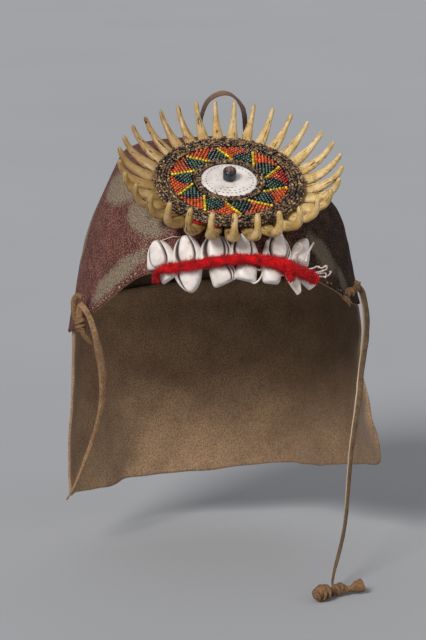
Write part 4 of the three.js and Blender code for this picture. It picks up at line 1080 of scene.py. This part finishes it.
def make_bead_field(settings):
    """The ten bead triangles. Each repeat starts with a yellow row that runs slantwise from the inner to the
    outer border, and further rows lie parallel to it. A line from the row's inner end to the next row's outer
    end parts the orange triangle from the green one, with black beads along it."""
    rng = np.random.default_rng(11)
    diameter = settings.bead_diameter / MM
    inner = INNER_BORDER_END + CLEARANCE + diameter / 2
    outer = BORDER_INNER - CLEARANCE - diameter / 2
    reaches = np.array([inner, outer])
    turn = np.radians(REPEAT_TURN)
    following = np.array([[np.cos(turn), -np.sin(turn)], [np.sin(turn), np.cos(turn)]])
    row, step = np.meshgrid(np.arange(0, 16), np.arange(-22, 24), indexing="ij")
    deep = row.reshape(-1) * diameter
    repeats = []
    for repeat in range(REPEATS):
        middle = YELLOW_PHASE + repeat * REPEAT_TURN
        ends = np.radians([middle + YELLOW_SWEEP / 2, middle - YELLOW_SWEEP / 2])
        ends = np.stack([reaches * np.sin(ends), reaches * np.cos(ends)], -1)
        line = unit(ends[1] - ends[0])
        across = np.array([line[1], -line[0]])
        offset = row[..., None] * diameter * across + step[..., None] * diameter * BEAD_SPACING * line
        places = (ends[0] + offset).reshape(-1, 2)
        room = -(places - ends[0] @ following) @ (across @ following)
        reach = np.linalg.norm(places, axis=-1)
        near = (reach >= inner - 0.3) & (reach <= outer + 1.0) & (room > 0.6 * diameter)
        near &= places @ unit(ends.mean(0)) > 0
        share = (reach - inner) / (outer - inner)
        part = deep / (deep + np.maximum(room, 0.01))
        edge = 0.04 + 0.9 * share
        colour = np.where(part < edge, ORANGE, GREEN)
        colour = np.where(np.abs(part - edge) * (deep + room) < 0.8 * diameter, BLACK, colour)
        colour = np.where(deep == 0, YELLOW, colour)
        colour = np.where((colour == ORANGE) & (share > 0.72) & (repeat == RED_REPEAT), RED, colour)
        axis = np.broadcast_to(line, places.shape)
        repeats.append((places[near], axis[near], colour[near]))
    places, axis, colour = (np.concatenate(parts) for parts in zip(*repeats))
    count = len(places)
    axis = unit(axis + rng.normal(0, 0.06, axis.shape))
    height = FIELD_TOP - diameter * 0.1 + rng.normal(0, 0.07, count)
    centres = np.column_stack([places + rng.normal(0, 0.07, places.shape), height])
    x = np.column_stack([axis, np.zeros(count)])
    z = np.tile([0.0, 0.0, 1.0], (count, 1))
    axes = np.stack([x, np.cross(z, x), z], 1) * rng.uniform(0.93, 1.05, (count, 1, 1))
    shape = bead_shape(9, "-0.46 0.1, -0.33 0.37, 0 0.52, 0.33 0.37, 0.46 0.1", diameter)
    codes = np.array([lin(code) for code in BEAD_COLOURS])
    shades = np.repeat(rng.uniform(0.5, 1.35, (count, 1)), 3, 1)
    tint = codes[colour] * np.column_stack([shades, np.ones(count)])
    glint = rng.uniform(0.05, 0.7, (count, 1)) * np.where(colour < BLACK, 0.28, 1)[:, None]
    tint = glinting(tint, shape[0], glint, GLASS_GLINT)
    body = on_emblem(repeated(*shape, centres, axes))
    make_mesh("bead_field", body, tinted_glass(), {"tint": tint})


def make_border(name, node, inner, width, strands, drop, seed):
    """A border of twisted strands: rings of short leaning bundles that turn one way and then the other,
    over a rounded ring. With a drop one more strand lies that many mm lower, against the outer edge."""
    rng = np.random.default_rng(seed)
    seat = PLATE_TOP + CLEARANCE
    outline = numbers("0 0, 1 0, 1 0.5, 0.8 1.1, 0.2 1.1, 0 0.5") * (width, 1) + (inner, seat)
    ground = closed_ring(turned(*outline.T[..., None], 120))
    up = np.array([0, 0, 1.0])
    places = []
    axes = []
    for strand in range(strands + (drop > 0)):
        share = min((strand + 0.5) / strands, 1.02)
        reach = inner + width * share
        count = int(2 * np.pi * reach / STRAND_PITCH)
        angle = (np.arange(count) + rng.uniform(-0.3, 0.3, count)) * 2 * np.pi / count
        lean = np.radians(STRAND_LEAN * (1 if strand % 2 else -1)) + rng.normal(0, 0.3, count)
        crest = 0.75 + 0.75 * np.sqrt(max(0, 1 - (2 * share - 1) ** 2 * 0.8)) if share < 1 else 0.9 - drop
        rise = seat + crest + rng.normal(0, 0.2, count)
        radial = np.stack([np.sin(angle), np.cos(angle), 0 * angle], -1)
        tangent = np.stack([np.cos(angle), -np.sin(angle), 0 * angle], -1)
        x = unit(tangent * np.cos(lean)[:, None] + radial * np.sin(lean)[:, None]
                 + up * rng.normal(0, 0.22, (count, 1)))
        y = unit(np.cross(up, x))
        places.append(radial * (reach + rng.normal(0, 0.2, count))[:, None] + up * rise[:, None])
        axes.append(np.stack([x, y, np.cross(x, y)], 1) * rng.uniform(0.8, 1.15, (count, 1, 1)))
    places = np.concatenate(places)
    shape = bead_shape(7, "-1.25 0.16, -0.9 0.5, 0 0.68, 0.9 0.5, 1.25 0.16")
    bundles = repeated(*shape, places, np.concatenate(axes))
    codes = np.array([lin(code) for code in BORDER_TINTS])
    tint = codes[rng.choice(len(codes), len(places), p=BORDER_TINT_SHARES)]
    tint = glinting(tint, shape[0], rng.uniform(-1.6, 0.8, (len(places), 1)).clip(0), STRAND_GLINT)
    # The ground ring is nearly black, so the gaps between the strands read dark: painted shade.
    tint = np.concatenate([np.tile(lin(BORDER_GAP_SHADE), (len(ground[0]), 1)), tint])
    body = on_emblem(joined([ground, bundles]))
    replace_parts(make_mesh(name, body, twisted_border(), {"tint": tint}), node)


def tusk_rings(curl, spacing, seed):
    """One tusk along X from under the plate: an oval root, widest past the plate's edge, on a cubic curve up
    to a blunt tip. curl runs from 0 at the back of the ring to 1 at the front."""
    sides = 18
    t = np.concatenate([np.linspace(0, 0.97, 34), [0.985, 0.995, 1.0]])
    root = CLEARANCE + TUSK_THICKNESS / 2
    look = {name: (1 - curl) * back + curl * front for name, (back, front) in TUSK_LOOK.items()}
    ends = np.array([
        [CORE_RADIUS + TUSK_TIP, root],
        [PLATE_RADIUS * look["belly"], root],
        [TUSK_REACH * 0.9, root + TUSK_TIP_HEIGHT * look["bend"]],
        [TUSK_REACH - TUSK_FRONT_CURL * curl ** 1.8, TUSK_TIP_HEIGHT * look["tip"]],
    ])
    u = t[:, None]
    centre = (ends[0] * (1 - u) ** 3 + ends[1] * 3 * u * (1 - u) ** 2 + ends[2] * 3 * u ** 2 * (1 - u)
              + ends[3] * u ** 3)
    tangent = unit((ends[1] - ends[0]) * (1 - u) ** 2 + (ends[2] - ends[1]) * 2 * u * (1 - u)
                   + (ends[3] - ends[2]) * u ** 2)
    room = centre[:, 0] * np.radians(spacing) - CLEARANCE
    swell = 0.55 + 0.45 * np.sin(np.pi * np.minimum(1, 0.22 + t))
    full = TUSK_WIDTH * look["width"] * swell
    width = np.minimum(room, full + (look["end"] - full) * t ** look["taper"])
    belly = 1.4 * curl * np.sin(np.pi * t ** 2)
    height = TUSK_THICKNESS + (0.85 * look["end"] - TUSK_THICKNESS) * t ** 1.6 + belly
    blunt = np.sqrt(np.clip(1 - ramp(t, 0.955, 0.045) ** 2 * 0.94, 0, 1))
    angle = circle(sides)
    lift = (height * blunt / 2)[:, None] * np.sin(angle)
    rings = np.stack([
        centre[:, :1] - tangent[:, 1:] * lift,
        (width * blunt / 2)[:, None] * np.cos(angle),
        centre[:, 1:] + tangent[:, :1] * lift,
    ], -1)
    rings += 0.22 * ripple(rings, 8, seed)[..., None] * unit(rings - rings.mean(1, keepdims=True))
    lengths = np.concatenate([[0], np.cumsum(np.linalg.norm(np.diff(centre, axis=0), axis=1))])
    skin = np.stack([lengths[:, None] + 0 * lift,
                     (width / 2)[:, None] * np.cos(angle) + 0.4 * lift,
                     seed * 7.3 + 0.5 * lift], -1)
    return rings, skin, np.repeat(t, sides)


def make_tusks():
    """Thirty-one tusks round the disc, closer together at the back and more curled at the front."""
    material = tusk_ivory()
    for i in range(TUSK_COUNT):
        turn = 2 * np.pi * i / TUSK_COUNT
        azimuth = np.degrees(turn + TUSK_CROWDING * np.sin(turn)) + TUSK_PHASE
        spacing = 360 / TUSK_COUNT * (1 + TUSK_CROWDING * np.cos(turn))
        curl = 0.5 + 0.5 * np.cos(np.radians(azimuth))
        rings, skin, share = tusk_rings(curl, spacing, 40 + i)
        points, faces = ring_body(rings)
        angle = np.radians(azimuth - 90)
        spin = np.array([[np.cos(angle), np.sin(angle), 0], [-np.sin(angle), np.cos(angle), 0], [0, 0, 1]])
        values = {
            "skin": np.concatenate([skin.reshape(-1, 3), skin[0, :1], skin[-1, :1]]),
            "share": capped(share, 0, 1),
            "stain": np.full(len(points), np.clip(0.45 + 0.75 * np.sin(np.radians(azimuth + 180)), 0, 1)),
        }
        make_piece(f"tusk_{i + 1:02d}", on_emblem((points @ spin, faces)), material, values)


def shell_body(width, height, square, narrow, left, right, seed):
    """One cut cowrie: a smooth half-round dome on a flat back, with thin rims beside it behind dark slits
    that curve with its outline. The outline is an oval at one end and boxy at the end under the wool, and
    narrows towards its top."""
    sides = 84
    reach = np.linspace(0.02, 1, 30)[:, None]
    round_side = oval(2, 2, sides, square)
    boxy_side = oval(2, 2, sides, 5.5)
    boxy = (round_side[:, 1:] < 0) if square < 2.5 else np.ones((sides, 1), bool)
    outline = np.where(boxy != (narrow < -0.2), boxy_side, round_side)
    x = reach * outline[:, 0]
    y = reach * outline[:, 1]
    place = x / np.sqrt(np.clip(1 - 0.85 * y ** 2, 0.1, 1))
    gap = np.zeros_like(place)
    lower = np.zeros_like(place)
    slits = ((-0.66, 0.075 * max(1, left), left > 0), (0.56, 0.05, right > 0), (0.8, 0.045, right > 1))
    for middle, half, wanted in slits:
        if wanted:
            gap = np.maximum(gap, bell(place, middle, half))
            lower = np.maximum(lower, np.clip((place - middle) * np.sign(middle) / 0.04, 0, 1))
    dome = np.clip(1 - reach ** 11, 0, 1) ** 0.5 * (1 - 0.34 * np.clip(place, -1, 1) ** 2)
    rise = np.maximum(SHELL_THICKNESS * dome * (1 - 0.26 * lower) - SLIT_DEPTH * gap * dome, SHELL_EDGE)
    rise = rise * np.where(reach > 0.99, 0.5, 1)
    wide = width * 0.54 * (1 - narrow * y)
    top = np.stack([x * wide, y * height / 2, rise], -1)
    base = top[[-1, 0]] * (1, 1, 0)
    grid = np.concatenate([top, base])
    grid[..., 2] += np.where(grid[..., 2] > 0.6, 0.1 * ripple(grid, 9, seed), 0)
    # Painted shade: the mark darkens the slits that cut down beside the dome.
    marks = np.concatenate([np.clip(gap * 1.5 - 0.2, 0, 1), np.zeros((2, sides))])
    return ring_body(grid), capped(marks)


def make_shells():
    """Both rows of cut cowries, each shell seated on the hood's slope."""
    material = shell_white()
    for row_name, rows in SHELLS.items():
        for k, (azimuth, drop, lean, width, height, *shape) in enumerate(rows):
            point, side, up, out = seat_on_hood(azimuth, drop)
            lean = np.radians(lean)
            axes = np.array([side * np.cos(lean) + up * np.sin(lean),
                             up * np.cos(lean) - side * np.sin(lean), out])
            (points, faces), mark = shell_body(SHELL_WIDTH * width, SHELL_HEIGHT * height, *shape, 60 + k)
            body = (points @ axes + point + out * SHELL_LIFT, faces)
            make_piece(f"shell_{row_name}_{k + 1}", body, material, {"mark": mark})


def make_yarn(settings):
    """The wool strand: a soft uneven core with a thick coat of fluff, split into short ends at the right.
    Each fibre is a hair that bends away by the square of its length."""
    rng = np.random.default_rng(5)
    bodies = []
    places = []
    away = []
    for number, rows in enumerate(YARN):
        steps, look, fluff = (60, YARN_END_LOOK, 8) if number else (220, YARN_LOOK, 1)
        seats = [seat_on_hood(azimuth, drop) for azimuth, drop in rows]
        course = smooth_course([point + out * YARN_STAND_OFF for point, _, _, out in seats], steps)
        thick = np.interp(np.linspace(0, 1, steps), look["place"], look["size"])
        thick = thick * (1 + 0.1 * ripple(course, 9, 8 + number))
        side, other = course_sides(course, (0, 0, 1))
        bodies.append(tube(course, (0, 0, 1), oval(YARN_CORE, YARN_CORE, 16), thick))
        count = settings.fluff_count // fluff
        index = rng.integers(0, steps, count)
        turn = rng.uniform(0, 2 * np.pi, count)
        way = np.cos(turn)[:, None] * side[index] + np.sin(turn)[:, None] * other[index]
        reach = YARN_DIAMETER * 0.34 * thick[index] * rng.uniform(0.75, 1.05, count)
        places.append(course[index] + way * reach[:, None])
        away.append(way)
    away = np.concatenate(away)
    count = len(away)
    lean = unit(away + rng.normal(size=(count, 3)))
    y = unit(np.cross(lean, rng.normal(size=(count, 3))))
    axes = np.stack([lean, y, np.cross(lean, y)], 1) * rng.uniform(0.45, 1.25, (count, 1, 1))
    t = np.linspace(0, 1, 3)[:, None]
    angle = circle(3)
    thin = HAIR_WIDTH * (1 - 0.8 * t)
    hair = np.stack([HAIR_LENGTH * t + 0 * angle, 1.1 * t ** 2 + thin * np.cos(angle),
                     thin * np.sin(angle)], -1)
    bodies.append(repeated(*ring_body(hair), np.concatenate(places), axes))
    make_piece("yarn", joined(bodies), wool("red wool", "#8c0208", "#ea1018"))


def make_thread_ends():
    """Loose ends of the pale thread that holds the shells. Each swings a little further off the hood and back
    along its way, and the knotted ones have a knot at the end and one before it."""
    rng = np.random.default_rng(17)
    knot, knot_faces = bead_shape(8, "-0.8 0.3, -0.45 0.75, 0.45 0.75, 0.8 0.3")
    bodies = []
    for number, (height, wide, rows) in enumerate(THREADS):
        points = []
        for k, (azimuth, drop) in enumerate(numbers(rows)):
            point, _, _, out = seat_on_hood(azimuth, drop)
            points.append(point + out * (height + 1.4 * abs(np.sin(1.3 * k + number))))
        course = smooth_course(points, 40)
        section = oval(0.7 * wide, 0.95 * wide, 8)
        bodies.append(tube(course, (0.1, -1, 0.3), section, 1 + 0.2 * ripple(course, 3, number)))
        if number < KNOTTED_THREADS:
            for place in (course[-1], course[int(rng.integers(14, 28))]):
                bodies.append((knot + place, knot_faces))
    make_mesh("thread_ends", joined(bodies), wool("shell thread", "#c8b3a4", "#f0e2d8"))


def tie_body(route, look, edge, seed):
    """A thong along its route: a flat boxy strip that turns as it hangs and grows thinner towards its end.
    edge is how far the painted highlight along its left edge comes down."""
    course = smooth_course(route, TIE_STEPS)
    share = np.linspace(0, 1, TIE_STEPS)
    scale = np.interp(share, look["place"], look["size"]) * (1 + 0.06 * ripple(course, 11, seed))
    section = oval(TIE_DIAMETER, TIE_DIAMETER * 0.6, TIE_SIDES, 3.0)
    twist = 30 * np.sin(share * 5 + seed) + 500 * np.clip(share - 0.8, 0, 1)
    points, faces = tube(course, (1, 0.15, 0), section, scale, twist)
    leftward = course[:, :1] - points[:-2, 0].reshape(TIE_STEPS, TIE_SIDES)
    leftward = leftward / (TIE_DIAMETER / 2 * scale[:, None])
    # Painted highlight: paler on the thong's left side, from its top down to the share given by edge.
    pale = np.clip(leftward * 5 - 3, 0, 1) * np.clip((edge - share) * 8, 0, 1)[:, None]
    return (points, faces), course, capped(pale)


def make_ties():
    """The two thongs: a shorter one with a bare end at the left, and a longer one at the right."""
    tan = thong("tan thong leather", "#5a402a", "#b08860", "#e0c4a0")
    brown = thong("brown thong leather", "#3c2b1a", "#7a5f42", "#e0c4a0")
    for name, material, route, look, edge, length, far_end, riders in (
            ("left", tan, LEFT_TIE_ROUTE, LEFT_TIE_LOOK, 0.0, LEFT_TIE_LENGTH, "bare", ()),
            ("right", brown, RIGHT_TIE_ROUTE, RIGHT_TIE_LOOK, 0.8, RIGHT_TIE_LENGTH, "knot",
             ("fine_end_knot",))):
        body, course, pale = tie_body(route, look, edge, len(route))
        made = make_piece(f"{name}_tie", body, material, {"pale": pale})


def knot_body(strands, wound, seed):
    """A knot of thong strands, each a boxy tube along its course, and of the turns wound round them, each a
    helix about its strand."""
    bodies = []
    for number, strand in enumerate(strands):
        course = smooth_course(strand, STRAND_STEPS)
        line = course[:, :3]
        scale = np.clip(course[:, 3], 0.25, None) * (1 + 0.07 * ripple(line, 5, seed + number))
        twist = 40 * np.sin(np.arange(STRAND_STEPS) / 14)
        bodies.append(tube(line, (0.5, -1, 0.2), oval(1.5, 2.1, 16, 2.6), scale, twist))
    for number, start, end, turns, size in wound:
        course = smooth_course(strands[number], WOUND_STEPS)
        side, other = course_sides(course[:, :3], (0.3, 0.2, 1))
        part = slice(int(WOUND_STEPS * start), int(WOUND_STEPS * end))
        share = np.linspace(0, 1, part.stop - part.start)
        turn = (2 * np.pi * turns * share + 0.4 * np.sin(7 * share + seed))[:, None]
        reach = course[part, 3:] * 0.92
        line = course[part, :3] + reach * (np.cos(turn) * side[part] + np.sin(turn) * other[part])
        bodies.append(tube(even(line, 120), (0.2, 1, 0.3), oval(size * 1.3, size * 0.7, 10, 2.6)))
    return joined(bodies)


def make_knots():
    """The knots that hold the thongs at both rim corners, and the one at the right thong's end."""
    material = thong("knotted thong", "#4a3320", "#98714a", "#c9ab8c")
    for name, strands, wound in KNOTS:
        make_piece(name, knot_body(strands, wound, len(name)), material)


def link(name, data):
    """A new object in the scene."""
    made = bpy.data.objects.new(name, data)
    bpy.context.scene.collection.objects.link(made)
    return made


def make_stage(settings):
    """A plain pale floor under the lowest knot, and soft studio lights."""
    mesh = bpy.data.meshes.new("floor")
    sides = ((-1, -1), (1, -1), (1, 1), (-1, 1))
    corners = [(x * FLOOR_HALF, y * FLOOR_HALF, CAD_LOW[2] - FLOOR_GAP) for x, y in sides]
    mesh.from_pydata(corners, [], [(0, 1, 2, 3)])
    mesh.materials.append(pale_floor())
    staged = [link("floor", mesh)]
    for name, place, softness, power in LIGHTS:
        light = bpy.data.lights.new(name, "SUN")
        light.angle = np.radians(softness)
        light.energy = power * settings.light_power
        lamp = link(name, light)
        lamp.location = place
        lamp.rotation_euler = (-Vector(place)).to_track_quat("-Z", "Y").to_euler()
        staged.append(lamp)
    world = bpy.data.worlds.new("studio")
    world.use_nodes = True
    background = world.node_tree.nodes["Background"]
    background.inputs["Color"].default_value = lin(SKY)
    background.inputs["Strength"].default_value = SKY_POWER
    bpy.context.scene.world = world
    bpy.context.scene.view_settings.view_transform = "Standard"


def make_camera():
    """The camera at the photograph's angle, a little above the hat and straight in front."""
    elevation = np.radians(CAMERA_ELEVATION)
    back = Vector((0, -np.cos(elevation), np.sin(elevation)))
    data = bpy.data.cameras.new("camera")
    data.sensor_width = SENSOR
    data.lens = SENSOR * PHOTO_FOCAL / PHOTO_LONG_SIDE
    data.clip_start, data.clip_end = CAMERA_CLIP
    camera = link("camera", data)
    camera.location = Vector(CAMERA_TARGET) * MM + back * CAMERA_DISTANCE * MM
    camera.rotation_euler = (-back).to_track_quat("-Z", "Y").to_euler()
    bpy.context.scene.camera = camera


class HatSettings(bpy.types.PropertyGroup):
    """Sizes that the hat's pieces share."""
    leather_unevenness: bpy.props.FloatProperty(
        name="Leather unevenness", description="How far the hood's leather waves in and out",
        default=0.00045, unit="LENGTH")
    flap_waves: bpy.props.FloatProperty(
        name="Flap waves", description="How far the neck flap waves at its free edge",
        default=0.0018, unit="LENGTH")
    bead_diameter: bpy.props.FloatProperty(
        name="Bead diameter", description="Diameter of a glass bead of the disc",
        default=0.00205, unit="LENGTH")
    fluff_count: bpy.props.IntProperty(
        name="Fluff", description="Number of loose fibres on the wool strand", default=6400)
    light_power: bpy.props.FloatProperty(
        name="Light", description="Share of the studio lights' power", default=1.0)


class HAT_OT_camera(bpy.types.Operator):
    """The camera at the photograph's angle."""
    bl_idname = "hat.camera"
    bl_label = "Camera"

    def execute(self, context):
        make_camera()
        return {"FINISHED"}


class HAT_OT_knots(bpy.types.Operator):
    """The knots at the rim corners and at the right thong's end."""
    bl_idname = "hat.knots"
    bl_label = "Knots"

    def execute(self, context):
        make_knots()
        return {"FINISHED"}


class HAT_OT_ties(bpy.types.Operator):
    """The two thongs that hang from the rim corners."""
    bl_idname = "hat.ties"
    bl_label = "Thong ties"

    def execute(self, context):
        make_ties()
        return {"FINISHED"}


class HAT_OT_hood(bpy.types.Operator):
    """The leather hood with its painted outside and cut edge."""
    bl_idname = "hat.hood"
    bl_label = "Hood"

    def execute(self, context):
        make_hood(context.scene.hat_settings)
        return {"FINISHED"}


class HAT_OT_rim_stitches(bpy.types.Operator):
    """Pale stitches along the arched front rim."""
    bl_idname = "hat.rim_stitches"
    bl_label = "Rim stitches"

    def execute(self, context):
        make_rim_stitches()
        return {"FINISHED"}


class HAT_OT_neck_flap(bpy.types.Operator):
    """The suede flap that hangs from the hood."""
    bl_idname = "hat.neck_flap"
    bl_label = "Neck flap"

    def execute(self, context):
        make_neck_flap(context.scene.hat_settings)
        return {"FINISHED"}


class HAT_OT_hanging_loop(bpy.types.Operator):
    """The strap on the crown."""
    bl_idname = "hat.hanging_loop"
    bl_label = "Hanging loop"

    def execute(self, context):
        make_hanging_loop()
        return {"FINISHED"}


class HAT_OT_disc(bpy.types.Operator):
    """The disc's plate, red cloth, shell disc and centre bead."""
    bl_idname = "hat.disc"
    bl_label = "Disc"

    def execute(self, context):
        make_plate()
        make_cloth()
        make_shell_disc()
        make_centre_bead()
        return {"FINISHED"}


class HAT_OT_bead_field(bpy.types.Operator):
    """The ten triangles of glass beads."""
    bl_idname = "hat.bead_field"
    bl_label = "Bead field"

    def execute(self, context):
        make_bead_field(context.scene.hat_settings)
        return {"FINISHED"}


class HAT_OT_borders(bpy.types.Operator):
    """The two twisted rings round the bead field."""
    bl_idname = "hat.borders"
    bl_label = "Bead borders"

    def execute(self, context):
        make_border("fine_outer_border", "outer_bead_border", BORDER_INNER, BORDER_WIDTH, 5, 1.1, 15)
        make_border("fine_inner_border", "inner_bead_border", INNER_BORDER_START, INNER_BORDER_WIDTH,
                    3, 0, 16)
        return {"FINISHED"}


class HAT_OT_tusks(bpy.types.Operator):
    """The ring of curved tusks."""
    bl_idname = "hat.tusks"
    bl_label = "Tusks"

    def execute(self, context):
        make_tusks()
        return {"FINISHED"}


class HAT_OT_shells(bpy.types.Operator):
    """Both rows of cut cowries."""
    bl_idname = "hat.shells"
    bl_label = "Cowries"

    def execute(self, context):
        make_shells()
        return {"FINISHED"}


class HAT_OT_yarn(bpy.types.Operator):
    """The red wool strand between the shell rows."""
    bl_idname = "hat.yarn"
    bl_label = "Wool strand"

    def execute(self, context):
        make_yarn(context.scene.hat_settings)
        return {"FINISHED"}


class HAT_OT_thread_ends(bpy.types.Operator):
    """Loose ends of the thread that holds the shells."""
    bl_idname = "hat.thread_ends"
    bl_label = "Thread ends"

    def execute(self, context):
        make_thread_ends()
        return {"FINISHED"}


class HAT_OT_stage(bpy.types.Operator):
    """The pale floor and the studio lights."""
    bl_idname = "hat.stage"
    bl_label = "Stage"

    def execute(self, context):
        make_stage(context.scene.hat_settings)
        return {"FINISHED"}


class HAT_PT_sidebar(bpy.types.Panel):
    """Sizes of the hat and buttons that make its pieces."""
    bl_label = "Beaded leather hat"
    bl_idname = "HAT_PT_sidebar"
    bl_space_type = "VIEW_3D"
    bl_region_type = "UI"
    bl_category = "Hat"

    def draw(self, context):
        settings = context.scene.hat_settings
        for name in HatSettings.__annotations__:
            self.layout.prop(settings, name)
        for piece in PIECES:
            self.layout.operator(piece.bl_idname)


PIECES = (HAT_OT_camera, HAT_OT_knots, HAT_OT_ties, HAT_OT_hood, HAT_OT_rim_stitches, HAT_OT_neck_flap,
          HAT_OT_hanging_loop, HAT_OT_disc, HAT_OT_bead_field, HAT_OT_borders, HAT_OT_tusks, HAT_OT_shells,
          HAT_OT_yarn, HAT_OT_thread_ends, HAT_OT_stage)


def register():
    """Register the classes and the scene's settings."""
    for kind in (HatSettings, *PIECES, HAT_PT_sidebar):
        bpy.utils.register_class(kind)
    bpy.types.Scene.hat_settings = bpy.props.PointerProperty(type=HatSettings)


def unregister():
    """Take the settings and classes away again."""
    del bpy.types.Scene.hat_settings
    for kind in (HAT_PT_sidebar, *reversed(PIECES), HatSettings):
        bpy.utils.unregister_class(kind)


def main():
    """Make every piece."""
    register()
    bpy.ops.hat.camera()
    bpy.ops.hat.knots()
    bpy.ops.hat.ties()
    bpy.ops.hat.hood()
    bpy.ops.hat.rim_stitches()
    bpy.ops.hat.neck_flap()
    bpy.ops.hat.hanging_loop()
    bpy.ops.hat.disc()
    bpy.ops.hat.bead_field()
    bpy.ops.hat.borders()
    bpy.ops.hat.tusks()
    bpy.ops.hat.shells()
    bpy.ops.hat.yarn()
    bpy.ops.hat.thread_ends()
    bpy.ops.hat.stage()


if __name__ == "__main__":
    main()
